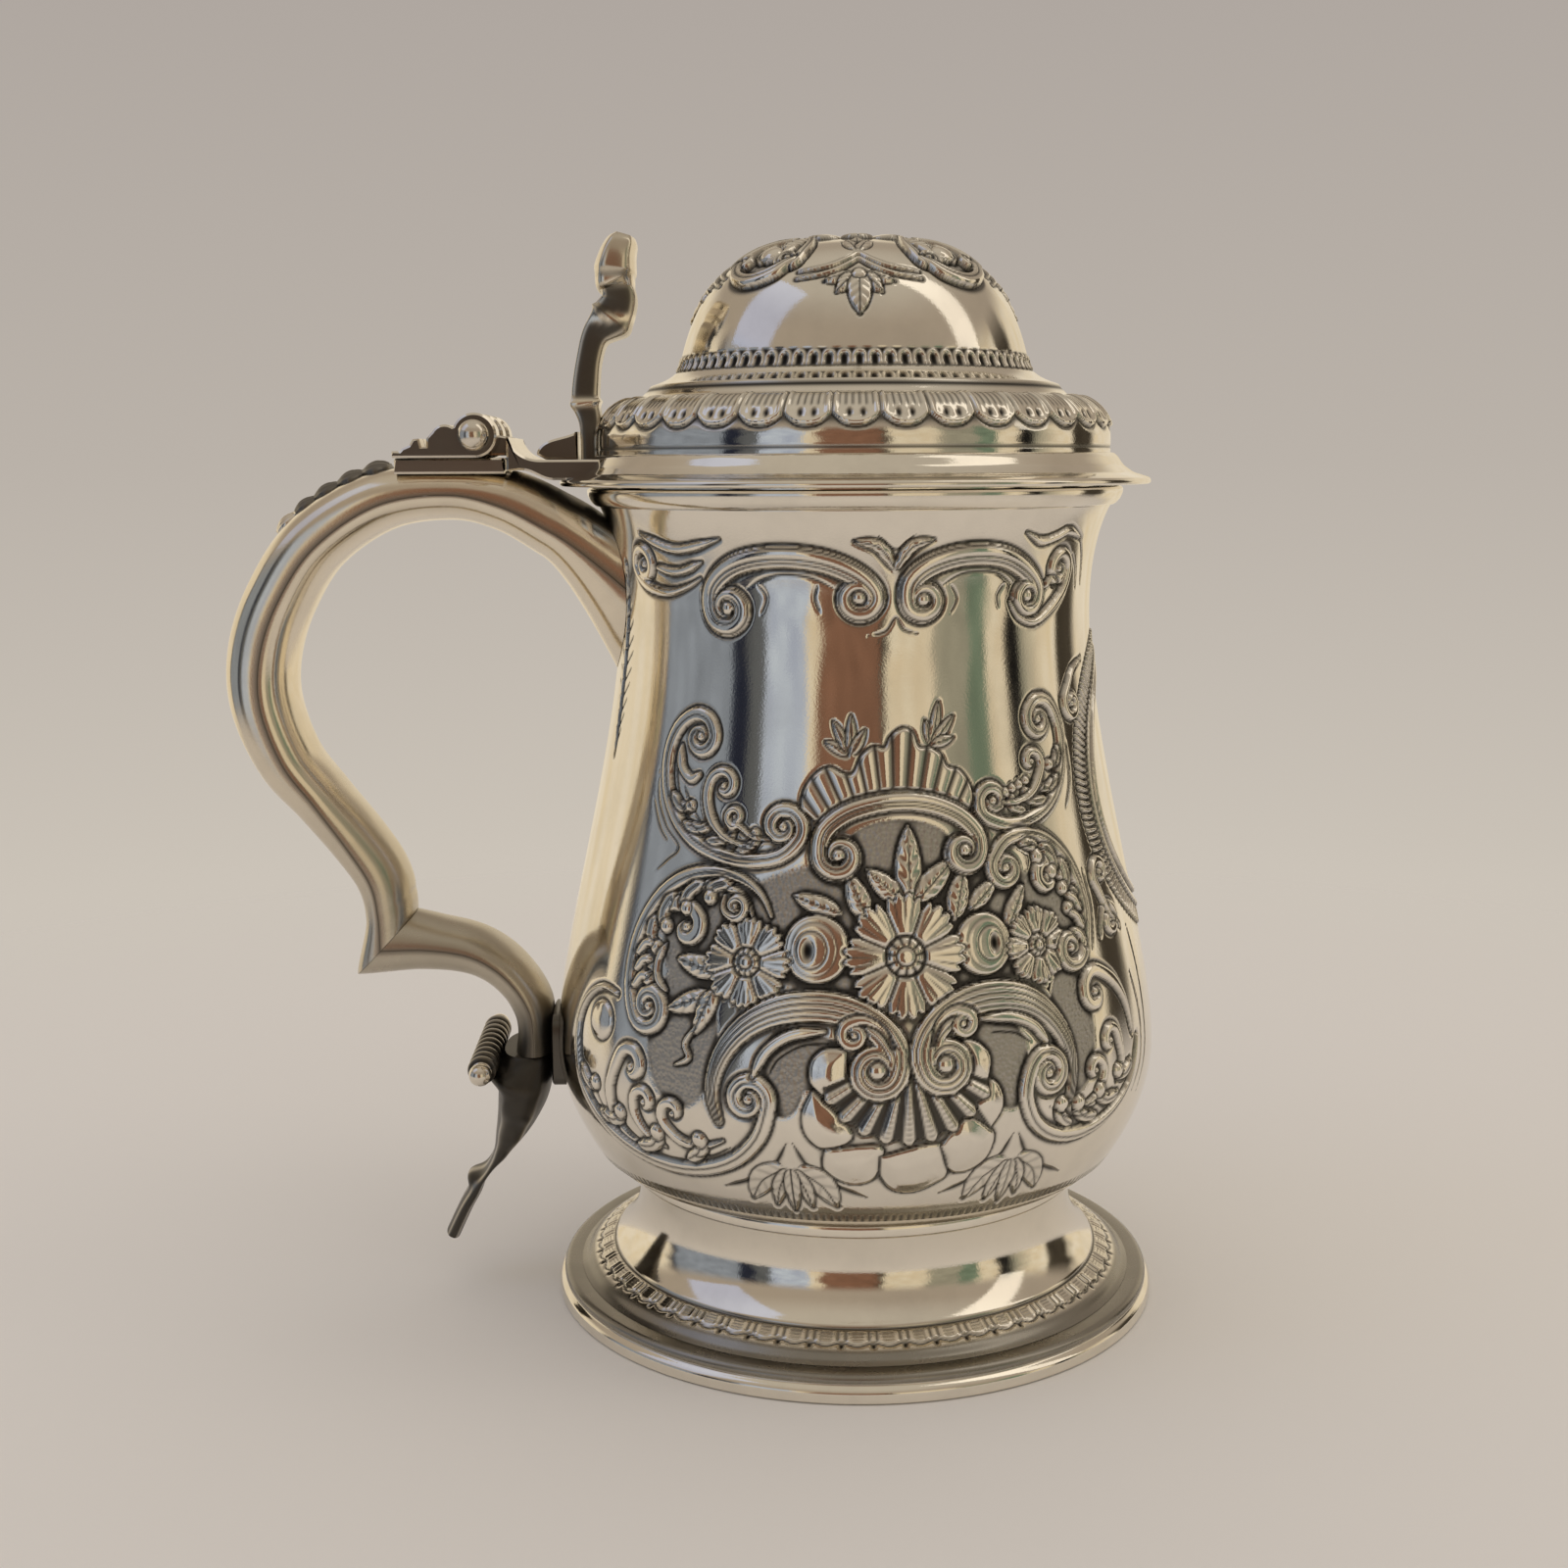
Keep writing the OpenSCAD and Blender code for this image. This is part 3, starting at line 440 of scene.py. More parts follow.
    def leaf(self, base, tip, half, height=0.6, bend=0.0):
        """A pointed leaf with a midrib and side veins; bend bows it to one side."""
        base, tip = np.array(base, float), np.array(tip, float)
        across = np.array([-(tip - base)[1], (tip - base)[0]])
        middle = (base + tip) / 2 + bend * across
        area, x, y, line = self.window(through([base, middle, tip], 6), half + 1)
        gap, _, share = nearest(x, y, line)
        width = half * np.sin(np.pi * np.clip(share, 0.02, 0.98) ** 0.8) ** 0.8
        edge = np.clip(gap / width, 0, 1)
        veins = 0.5 + 0.5 * np.cos(2 * np.pi * (5 * share - 0.8 * edge))
        crown = (1 - 0.7 * edge ** 2) * (0.75 + 0.25 * veins)
        mask = 1 - ramp(gap, width - 0.1, width + 0.12)
        self.paint(area, mask, height * crown, 0.3 * (1 - veins) ** 3)
        self.cut(area, bell(gap, 0.16) * mask, 0.14)
        self.cut(area, bell(gap - width - 0.2, 0.22) * ramp(share, 0.0, 0.05), 0.24)

    def flower(self, centre, radius, petals, disc, lift=0.8, start=90.0):
        """A flower seen from the front: petals with toothed ends round a disc of small florets."""
        area, x, y, middle = self.window([centre], radius + 1)
        x, y = x - middle[0, 0], y - middle[0, 1]
        gap, angle = np.hypot(x, y), np.degrees(np.arctan2(y, x)) - start
        pitch = 360 / petals
        off = (angle + pitch / 2) % pitch / pitch - 0.5
        part = np.abs(2 * off)
        teeth = 4 * (off + 0.5)
        toothed = 0.12 * np.abs(np.sin(math.pi * teeth))
        edge = radius * (0.8 + 0.1 * (1 - part ** 2) + toothed - 0.1 * part ** 8)
        mask = 1 - ramp(gap, edge - 0.12, edge + 0.12)
        share = np.clip(gap / edge, 0, 1)
        self.paint(area, mask, lift * (1 - 0.55 * part ** 2) * (0.5 + 0.5 * share))
        tooth = np.radians(pitch) * gap / 4
        veins = bell(np.abs(teeth - np.round(teeth)) * tooth, 0.17) * ramp(share, 0.4, 0.8) * mask
        self.cut(area, 0.8 * veins, 0.15)
        parting = bell((1 - part) * np.radians(pitch / 2) * gap, 0.2) * (gap > disc) * mask
        self.cut(area, 0.75 * parting, 0.3)
        self.cut(area, bell(gap - edge - 0.22, 0.28), 0.3)
        self.bead(centre, disc, lift * 1.1)
        florets = (0.5 - 0.5 * np.cos(np.radians(FLORETS * angle))) ** 2 * ramp(gap, 0.45 * disc, 0.6 * disc)
        self.cut(area, florets * (gap < disc), 0.1)
        for ring in (0.5, 1.08):
            self.cut(area, bell(gap - ring * disc, 0.24), 0.2)

    def rose(self, centre, radius, eye, lift=0.9):
        """A round bud with a deep eye off its middle."""
        area, x, y, middle = self.window([centre], radius + 1)
        x, y = x - middle[0, 0], y - middle[0, 1]
        gap = np.hypot(x, y)
        self.paint(area, 1 - ramp(gap, radius - 0.15, radius + 0.15),
                   lift * np.sqrt(np.clip(1 - 0.8 * (gap / radius) ** 2, 0, 1)))
        self.cut(area, bell(gap - radius - 0.22, 0.3), 0.3)
        scale = self.per_degree(centre[1])
        eye_x, eye_y = (eye[0] - centre[0]) * scale, eye[1] - centre[1]
        for share, strength in ((0.8, 0.5), (0.55, 0.8)):
            ring_x, ring_y = eye_x * (1 - share), eye_y * (1 - share)
            ring = np.abs(np.hypot((x - ring_x) * 1.15, y - ring_y) - radius * share)
            self.cut(area, strength * bell(ring, 0.22), 0.2)
        hole = np.hypot((x - 0.75 * eye_x) / (0.17 * radius), (y - 0.75 * eye_y) / (0.3 * radius))
        self.cut(area, np.exp(-hole ** 4), 0.5)

    def patch(self, outline, height=0.4, bevel=1.2, fan=None, ribs=0.0):
        """A raised field inside a smooth outline; so many ribs to a turn may spread from a focus, fan."""
        ring = through(list(outline) + [outline[0]], 5)
        area, x, y, line = self.window(ring, 1.2)
        gap, _, _ = nearest(x, y, line)
        inside = np.zeros(x.shape, bool)
        for (x0, y0), (x1, y1) in zip(line, line[1:]):
            if y0 != y1:
                inside ^= ((y0 > y) != (y1 > y)) & (x < (x1 - x0) * (y - y0) / (y1 - y0) + x0)
        crown = 0.35 + 0.65 * ramp(gap, 0, bevel)
        patina_and_shade = 0.0
        if fan:
            focus = np.array(fan) * (self.per_degree(ring[:, 1].mean()), 1)
            wave = 0.5 + 0.5 * np.cos(ribs * np.arctan2(y - focus[1], x - focus[0]))
            crown = crown * (0.5 + 0.5 * np.sqrt(wave))
            patina_and_shade = 0.95 * (1 - wave) ** 4
        self.paint(area, inside * 1.0, height * crown, patina_and_shade)
        self.cut(area, bell(gap, 0.26), 0.28)

    def scallop(self, focus, reach, spread, ribs, height=0.9):
        """A fluted shell that hangs from a focus: narrow ribs with cross marks, and a scalloped edge."""
        scale = self.per_degree(focus[1])
        corners = [(focus[0] + i * reach / scale, focus[1] - j * reach) for i in (-1, 1) for j in (0, 1)]
        area, x, y, _ = self.window(corners, 2)
        shift = self.per_degree(np.mean([c[1] for c in corners]))
        x, y = x - focus[0] * shift, y - focus[1]
        gap, angle = np.hypot(x, y), np.arctan2(x, -y)
        wave = 0.5 + 0.5 * np.cos(ribs * angle)
        edge = reach * (0.94 + 0.06 * wave)
        inside = (1 - ramp(gap, edge - 0.15, edge + 0.15)) * (1 - ramp(np.abs(angle), spread - 0.02, spread))
        marks = (0.5 + 0.5 * np.cos(2 * math.pi * gap / 0.9)) * wave ** 3
        self.paint(area, inside, height * (0.12 + 0.88 * wave ** 1.5) * (0.6 + 0.4 * gap / reach),
                   np.maximum(0.92 * (1 - ramp(wave, 0.3, 0.75)), 0.5 * marks))
        rim = bell(gap - edge - 0.2, 0.28) * (np.abs(angle) < spread)
        self.cut(area, rim, 0.3)

    def ground(self, centre, reach_turn, reach_place, sink=0.25):
        """A matted ground, sunk a little, inside an oval."""
        corners = [(centre[0] + i * reach_turn, centre[1] + j * reach_place)
                   for i in (-1, 1) for j in (-1, 1)]
        area, x, y, corners = self.window(corners, 1)
        middle, half = corners.mean(axis=0), (corners.max(axis=0) - corners.min(axis=0)) / 2
        gap = np.hypot((x - middle[0]) / half[0], (y - middle[1]) / half[1])
        self.paint(area, 1 - ramp(gap, 0.9, 1.0), -sink, 0.1, 1.0)

    def darken_hollows(self, reach=4, limit=0.22):
        """Patina gathers wherever the surface lies below its surroundings."""
        spread = self.height
        for _ in range(2):
            for axis in (0, 1):
                spread = sum(np.roll(spread, k, axis) for k in range(-reach, reach + 1)) / (2 * reach + 1)
        self.stain(0.85 * ramp(spread - self.height, 0.03, limit))


def nearest(x, y, line):
    """Distance of grid points from a line of points, the side they lie on and the share passed."""
    best = np.full(x.shape, np.inf)
    side, share = np.zeros(x.shape), np.zeros(x.shape)
    last = len(line) - 1
    for k in range(last):
        step = line[k + 1] - line[k]
        length = step @ step
        if length == 0:
            continue
        dx, dy = x - line[k, 0], y - line[k, 1]
        t = np.clip((dx * step[0] + dy * step[1]) / length, 0, 1)
        dx, dy = dx - t * step[0], dy - t * step[1]
        gap = dx * dx + dy * dy
        closer = gap < best
        best = np.where(closer, gap, best)
        share = np.where(closer, (k + t) / last, share)
        side = np.where(closer, np.sign(step[0] * dy - step[1] * dx), side)
    return np.sqrt(best), side, share


# Chasing of the body: points are (turn in degrees, height), widths and heights of forms in millimetres

def chase_top(relief):
    """Two ribbed arches below the rim, and acanthus scrolls beside them."""
    for path, start, end in (
            ([(-37.6, 134.5), (-37, 138), (-33, 141), (-27, 142.8), (-19, 143.4), (-11, 142.7), (-5, 141),
              (-1, 138.8), (0.6, 136.6)], (-33, 134.6, 1.3), (-2.9, 136.6, -1.3)),
            ([(8, 136.6), (8.6, 139.3), (12.5, 141.8), (18.5, 143.3), (25, 143.6), (31, 142.9), (36.5, 141),
              (40.6, 138.4), (41.5, 136.4)], (11.3, 136.2, 1.3), (38.3, 136.2, -1.3))):
        relief.scroll(path, 1.9, start, end, height=0.85, grooves=ARCHED)
    relief.engrave([(-28, 138), (-24, 139.7), (-19, 140.4), (-13, 139.8), (-8, 138)],
                   [(-25.5, 138.6), (-23.5, 136.5), (-25, 133.5)],
                   [(-12, 138.6), (-12.6, 136.4), (-11.4, 134)],
                   [(15, 138.2), (20, 140.3), (25.5, 140.6), (30, 140), (34, 138)],
                   [(17.5, 138.6), (19.2, 136.2), (17.6, 133.5)],
                   [(31.5, 138.4), (29.6, 136.4), (30.2, 134.2)])
    relief.leaf((5, 141.2), (-4, 146), 1.0, bend=-0.16)
    relief.leaf((5, 141.2), (13, 146.2), 1.0, bend=0.16)
    relief.engrave([(-1, 130.2), (3, 131), (5.2, 133.2), (7, 131.2), (10.5, 130.4)],
                   [(1, 147), (5, 144.6), (9, 147.2)])
    relief.curl([(-40.4, 139.4), (-44, 138), (-50, 136.8), (-57, 137.2), (-62, 138.8), (-64, 141)], 1.0,
                (-59.5, 141.3, -1.2), ends=(0.15, 0.5))
    relief.moulding([(-53.5, 141), (-49, 140.4), (-44.5, 140.8), (-39.6, 142.2)], 0.7, 0.6, ends=(0.8, 0.1))
    relief.moulding([(-59, 146.8), (-53, 145.2), (-47, 144.3), (-41, 144.8), (-34, 146.2)], 0.75, 0.6,
                    ends=(0.2, 0.1))
    relief.curl([(33.2, 135.4), (36, 132.5), (41, 131.6), (47, 133.8), (52, 136.8), (53.6, 140)], 1.0,
                (49.3, 140.4, 1.2), ends=(0.15, 0.5))
    relief.moulding([(44.6, 137.4), (46.2, 138.8), (48.4, 138)], 0.6, 0.5)
    relief.moulding([(36, 147), (41, 145.4), (46, 146), (51, 147), (58, 145.4)], 0.7, 0.5, ends=(0.1, 0.1))
    relief.engrave([(55, 143), (58, 140), (59, 136.5)], [(57, 146), (61, 142), (62.5, 137)])


BARBS, BARB_TOP, BARB_PITCH, BARB_REACH = 11, 139, 2.8, 4.5


def chase_root_leaf(relief):
    """The feathered leaf beside the root of the handle: a rib with barbs on both sides."""
    relief.moulding([(-71, 141), (-72.5, 131), (-73.5, 120), (-73, 106)], 0.5, 0.35, ends=(1, 0.2))
    for k in range(BARBS):
        z = BARB_TOP - BARB_PITCH * k
        reach = BARB_REACH * math.sin(math.pi * (k + 1.5) / (BARBS + 2))
        for turn, way in ((-72.6, 1), (-72.9, -1)):
            relief.engrave([(turn, z - 2.4), (turn + way * reach, z + 0.4)])


def chase_side_scrolls(relief):
    """The tall acanthus scrolls left and right of the plain field."""
    relief.scroll([(-35.2, 113), (-37, 115.6), (-41, 116.2), (-45.5, 113.6), (-47.6, 109), (-46.8, 103.5),
                   (-43.2, 98.4), (-38, 95), (-31.5, 93), (-25, 92.4), (-18.6, 93.4), (-14.8, 96.4)], 1.25,
                  (-38.8, 112.4, -1.0), (-18.2, 98.4, 1.3), grooves=TWIN)
    relief.fronds([(-46, 105), (-43, 99.6), (-38, 96.4), (-31.5, 94.6), (-25, 94)], 4, 4.4, 0.85, 1)
    relief.curl([(-24, 94.6), (-29.5, 95.6), (-33.6, 98.2), (-35.6, 102), (-35.2, 105.2)], 0.85,
                (-31.8, 104.6, -0.9))
    relief.curl([(-21, 96.2), (-24.5, 96.4), (-27.4, 98)], 0.6, (-28.6, 99.6, -1.2), ends=(0.2, 0.6))
    relief.moulding([(-44, 110.8), (-43.4, 107.2), (-40.6, 105.2), (-38.4, 106)], 0.8, 0.6, ends=(0.2, 0.6))
    relief.engrave([(-45, 107.5), (-43.6, 103), (-40.4, 99), (-36, 96)],
                   [(-42, 103.8), (-39, 100.2), (-36.4, 98)],
                   [(-50.4, 106), (-49.4, 101), (-46, 96.6), (-41.6, 93.4), (-44.4, 91), (-47.5, 88.6)],
                   [(-51, 101), (-48, 96.4), (-44.8, 94)])
    relief.scroll([(37.2, 116.2), (40, 118.2), (44, 117.6), (46.8, 114), (47, 109), (44.6, 104),
                   (40.4, 100.4), (35, 98.4), (29.4, 97.8), (25, 98.8)], 1.15,
                  (40.2, 114.8, 1.1), (25.6, 102, -1.2), grooves=TWIN)
    relief.fronds([(45.6, 112), (45.4, 107), (42.4, 103), (37, 100.4), (31, 99.6)], 4, 3.8, 0.8, -1)
    relief.curl([(27.8, 101.6), (32, 101.4), (36.4, 103), (39.2, 106.2)], 0.8, (36.8, 107.8, 0.85))
    for k in range(4):
        relief.bead((29 + 1.9 * k, 103.2 + 0.5 * k), 0.75, 0.5)
    relief.engrave([(45.2, 110), (43.8, 105.6), (40.4, 102.2)], [(49.6, 111), (49.4, 104), (46, 98.6)])


def chase_crest(relief):
    """The ruffled shell above the bouquet, its arch and the light sprays over it."""
    relief.patch([(-15, 101.5), (-14.4, 104.6), (-12, 107.4), (-9, 108.6), (-6.2, 107.6), (-4.2, 107.6),
                  (-2.6, 110.4), (0, 112), (2.4, 111.8), (3.6, 113.6), (6.2, 115), (8.6, 114.2),
                  (9.8, 111.8), (12.2, 111.6), (14.6, 110.4), (15.8, 108.4), (18.6, 107.6), (20.8, 105),
                  (21, 101.6), (18, 99.6), (12, 101), (5, 101.8), (-2, 101), (-9, 98.6)],
                 0.5, 0.7, fan=(4, 84), ribs=58)
    relief.scroll([(-10.6, 94.4), (-9.8, 98), (-5.6, 100.9), (0, 102.4), (6, 102.9), (12, 102.2),
                   (17.5, 100.2), (21, 97.2), (21.6, 94.4)], 1.7, (-6.9, 94, 1.2), (18.2, 94.2, -1.2),
                  height=0.95, grooves=ARCHED)
    for stem, tips in (((-4.5, 110.6), ((-10, 112.6), (-8.4, 116), (-4.6, 117), (-1.6, 114.6))),
                       ((12.8, 112), ((11.4, 116), (14.4, 119), (17.6, 116.6), (17.4, 113)))):
        for tip in tips:
            relief.leaf(stem, tip, 0.8, 0.3)


def chase_bouquet(relief):
    """Flowers and leaves across the middle, over a matted ground."""
    for middle, wide, high in (((5, 82), 36, 12.5), ((-33, 78), 10, 9), ((-36, 62), 8, 13), ((39, 62), 6, 12),
                               ((37, 83), 9, 8), ((5, 95.5), 11, 4.5), ((-16, 58), 4, 8), ((24, 58), 4, 8),
                               ((-12, 60), 8, 5), ((20, 61), 8, 5)):
        relief.ground(middle, wide, high)
    for base, tip, half in (((6.4, 86), (6.8, 98.6), 2.3), ((5, 86.5), (-1.4, 91.6), 1.8),
                            ((8, 86.5), (15.4, 92.8), 2.0), ((-1.6, 83.6), (-5, 91), 1.9),
                            ((-6.6, 84.6), (-15.4, 87.2), 1.6), ((15.2, 83.2), (17.6, 91.2), 1.9),
                            ((18.6, 84.6), (24.6, 89), 1.5), ((26, 81), (30.6, 87.6), 1.5),
                            ((-29.5, 73.6), (-38.4, 75), 1.9), ((-30.4, 69.6), (-39.4, 66.2), 1.8),
                            ((-29.4, 71), (-33.4, 62.6), 1.6)):
        relief.leaf(base, tip, half, height=0.75)
    relief.moulding([(-33, 64), (-35, 61), (-34, 58.6), (-36.8, 57)], 0.45, 0.4)
    relief.rose((-10.8, 78.6), 5.6, (-12.8, 78.2))
    relief.rose((20.6, 78.6), 5.2, (23.2, 78.6))
    relief.flower((-23.8, 75.8), 7.6, 8, 2.3)
    relief.flower((32.4, 77.2), 6.5, 8, 1.9)
    relief.flower((5.4, 77.4), 10.2, 8, 3.2, lift=1.0)


def chase_frame(relief):
    """The acanthus scrolls that frame the bouquet left and right."""
    relief.scroll([(-19.6, 83.6), (-21.8, 87), (-26, 89.4), (-32, 90.2), (-38.4, 88.8), (-44, 85.4),
                   (-48, 80.2), (-49.8, 74.4), (-49.6, 68.6), (-47.4, 63.6)], 1.3,
                  end=(-44, 66, 1.3), grooves=TWIN, ends=(0.2, 0.4))
    relief.moulding([(-23.4, 83.4), (-25, 86), (-28.6, 87.8), (-33.4, 88), (-38.6, 86), (-43, 82.2),
                     (-46, 77.2)], 0.7, 0.6, ends=(0.3, 0.3))
    relief.curl([(-46.4, 78), (-44, 82), (-40.4, 84), (-36.6, 83.6)], 1.3, (-37, 80.4, -0.8))
    relief.curl([(-29.4, 86.4), (-29.4, 84), (-27.4, 82.8)], 0.7, (-26.8, 84.8, 1.1), ends=(0.3, 0.6))
    relief.fronds([(-24, 87.4), (-30, 88.6), (-37, 87.4), (-43, 84), (-47, 78), (-48.4, 71)], 5, 4.4, 1.05, 1)
    for z in (76.6, 73.8, 71.0):
        relief.moulding([(-44.8, z), (-46.8, z - 0.2), (-48.2, z - 2)], 0.75, 0.6, ends=(0.3, 0.8))
    relief.moulding([(-41.6, 77), (-43, 74), (-42.6, 71), (-40.4, 69.2)], 0.6, 0.5, ends=(0.2, 0.5))

    relief.scroll([(24.4, 92.4), (27.6, 95.2), (32.6, 95.8), (38, 94.4), (42.6, 91), (45.6, 86.4), (46.4, 81),
                   (45, 76.4)], 1.2, (27, 90.6, 1.2), (41, 75.6, -1.2), grooves=TWIN)
    relief.curl([(43.4, 80), (42.6, 85), (40.4, 89), (37, 91)], 1.2, (37, 88.2, 0.8))
    relief.fronds([(29, 94), (34, 94.4), (39, 92.4), (43, 88.6), (44.8, 83)], 4, 4.0, 1.0, -1)
    relief.engrave([(30, 93.6), (35, 93.6), (39.6, 91.4)], [(48.6, 88), (49.4, 81), (47.6, 74)])
    for z in (84.4, 81.4, 78.4):
        relief.moulding([(42, z), (44, z - 0.8), (45, z - 2.8)], 0.7, 0.5, ends=(0.3, 0.8))
    relief.curl([(51, 76), (53.6, 80.6), (57, 80.4)], 0.9, (55.6, 78, -1.0), ends=(0.2, 0.6))


def chase_low_scrolls(relief):
    """The sweeping scrolls over the lower belly."""
    relief.bead((-57, 61), 3.6, 0.9)
    relief.scroll([(-53, 66.4), (-58, 66.8), (-63, 64), (-65.6, 59), (-65, 53), (-62, 46.8), (-56, 41.8),
                   (-48, 38.8), (-39, 37.8), (-31, 39), (-24.6, 42), (-20.4, 46.4), (-18.8, 51)], 1.35,
                  end=(-22.2, 53, 1.3), grooves=TWIN, ends=(0.3, 0.4))
    for path, half, end in (
            ([(-46, 40.6), (-50, 42.4), (-52.4, 46), (-52.8, 50.4), (-51, 55)], 1.2, (-47, 54.8, -0.8)),
            ([(-39.6, 41.4), (-43.6, 43.4), (-46, 46.4), (-46.2, 49.4)], 0.95, (-43.6, 49.2, -0.75)),
            ([(-27, 45), (-31, 43.4), (-35.6, 43.6), (-38.8, 46)], 0.95, (-37, 48.4, -0.75))):
        relief.curl(path, half, end)
    relief.fronds([(-64, 57), (-62, 50), (-57, 44.6), (-49, 41), (-40, 39.8), (-31, 41)], 4, 5.2, 1.2, 1)
    relief.engrave([(-59, 50), (-56.4, 45.6), (-52, 41.8), (-46, 39.6)],
                   [(-34, 41.4), (-30, 41.6), (-25.6, 44)])

    relief.scroll([(-27.6, 48.6), (-29, 54), (-27.4, 60), (-23.2, 65.2), (-17, 68.4), (-10, 69.3), (-4, 68.2),
                   (0.8, 65.4), (3.3, 61.6), (3, 58.4)], 2.6, end=(0, 58.8, -1.2),
                  height=1.0, grooves=RIBBON, ends=(0.3, 0.32))
    relief.moulding([(-21.4, 57), (-19.2, 61.4), (-14.8, 64.4), (-9, 65.2)], 0.9, 0.7, ends=(0.3, 0.3))
    relief.engrave([(-18.6, 57.4), (-17, 60.2), (-13, 62.6), (-8.4, 63.2)])
    relief.curl([(2.6, 62.6), (1, 65.6), (-2.2, 67.2), (-5, 66.6)], 0.95, (-4, 64.6, 1.1))

    relief.scroll([(36.8, 50), (37.6, 55), (36.6, 60), (33, 65.4), (27.5, 68.9), (20.5, 69.9), (14.5, 68.6),
                   (10.2, 65.6), (8.2, 61.8), (8.8, 58.6)], 2.6, end=(11.8, 59.4, 1.2),
                  height=1.0, grooves=RIBBON, ends=(0.3, 0.32))
    relief.moulding([(32.2, 60.4), (29.6, 64), (25, 66), (19, 66.4)], 0.9, 0.7, ends=(0.3, 0.3))
    relief.engrave([(28.8, 61), (25.6, 63.2), (20, 64)])
    relief.curl([(9.6, 63), (10.8, 66.4), (13.6, 68.2), (16, 67.8)], 0.95, (15.4, 65.8, -1.1))

    relief.scroll([(60.4, 56), (57, 50), (52, 46), (46, 43.6), (39, 43), (33, 44.4), (28.8, 47.6), (27, 52.2),
                   (28, 56.4)], 1.35, end=(32, 55.4, -1.4), grooves=TWIN, ends=(0.3, 0.4))
    for path, half, end in (([(58, 57), (56.6, 62.6), (53.4, 67.2), (49, 70)], 1.2, (46, 67, 0.9)),
                            ([(50.6, 50), (52.6, 53.4), (52, 57.4)], 0.95, (49, 57.8, 0.8)),
                            ([(39.6, 47.8), (44, 49.2), (46.2, 52.2)], 0.9, (43.8, 53.6, 0.8))):
        relief.curl(path, half, end)
    relief.fronds([(58, 55), (54, 50), (48, 46.6), (41, 45), (35, 46)], 4, 5.0, 1.15, -1)
    relief.engrave([(32, 49.6), (36, 47), (41, 46.4), (46, 47.8)],
                   [(61, 68), (63.4, 60), (62.4, 52), (58, 46)], [(64, 76), (66.6, 66), (66, 54), (61, 45)])


def chase_shell(relief):
    """The fluted shell at the foot of the panel, lying on open rose petals."""
    for petal in ([(-5, 62.5), (-9, 62.4), (-11.4, 60), (-11, 56), (-6, 54)],
                  [(-11, 55.6), (-12.8, 51.4), (-12, 47.4), (-8.8, 45.2), (-4, 48)],
                  [(-9, 45.2), (-9.2, 41.4), (-5.6, 38.6), (-2, 38.6), (0.2, 40.6), (0.6, 46)],
                  [(0.4, 44), (0.6, 40), (3, 37), (7, 36.5), (10.6, 38), (12.6, 40), (10.8, 46)],
                  [(10.8, 45.4), (12.8, 40.5), (16, 39.8), (19.6, 42), (20.8, 46), (19.4, 48), (15, 50)],
                  [(19.8, 47.6), (22.2, 51), (22, 54.2), (20, 56.2), (15.6, 55)],
                  [(19.6, 56.2), (20.2, 60), (18, 62.6), (14.6, 62.8), (15, 57)]):
        relief.patch(petal, 0.9, 3.4)
    relief.scallop((5.3, 62.5), 16.5, math.radians(66), 25)


def chase_sprays(relief):
    """Leaf sprays that end the panel above the foot."""
    for middle in (-15, 25):
        relief.engrave([(middle - 0.4, 46), (middle - 3.2, 41), (middle - 7.4, 38), (middle - 13.4, 35.6)],
                       [(middle + 0.6, 46), (middle + 3.4, 41), (middle + 7.6, 38), (middle + 13.4, 35.4)],
                       half=0.42, depth=0.3)
        for reach, low, half in ((-8, 34, 2.3), (8, 33.4, 2.3), (-3.4, 33, 1.3), (3.4, 33, 1.3),
                                 (0, 32, 1.3)):
            relief.leaf((middle + 0.1 * reach, 41), (middle + reach, low), half, 0.22, bend=0.015 * reach)


HATCH_PITCH, HATCH_TOP, HATCH_FADE, HATCH_DEPTH = 1.5, 31.2, 31.7, 0.08


def chase_base(relief):
    """A band of upright hatching round the base."""
    turn, place = np.meshgrid(relief.turns, relief.places)
    rules = 0.5 + 0.5 * np.cos(2 * math.pi * turn / HATCH_PITCH)
    relief.cut(EVERYWHERE, 0.8 * (1 - rules) ** 2 * (1 - ramp(place, HATCH_TOP, HATCH_FADE)), HATCH_DEPTH)


RESERVE, RESERVE_TURN, RESERVE_RISE = (90, 100), 33, 25
RUFFLE_SPAN, RUFFLE_PITCH = 77, 2.6


def chase_reserve(relief):
    """The oval reserve at the front, in a ruffled border, left bare inside."""
    def oval(scale, angle, lean=0.0):
        return (RESERVE[0] - scale * RESERVE_TURN * math.cos(angle),
                RESERVE[1] + scale * RESERVE_RISE * math.sin(angle + lean))

    for scale, half in ((1.0, 0.9), (0.9, 0.6)):
        ring = [oval(scale, angle) for angle in np.radians(np.arange(-120, 121, 15))]
        relief.moulding(ring, half, 0.7, ends=(1, 1))
    for angle in np.radians(np.arange(1 - RUFFLE_SPAN, RUFFLE_SPAN, RUFFLE_PITCH)):
        relief.moulding([oval(1.04, angle), oval(1.15, angle, 0.03)], 0.5, 0.4, ends=(0.8, 0.6))
    relief.curl([(62, 124), (56, 122.5), (52, 119)], 0.9, (54, 116.5, 1.1))
    relief.curl([(60, 76), (55.5, 79.5), (52.6, 84)], 0.9, (54.6, 86.6, -1.0))


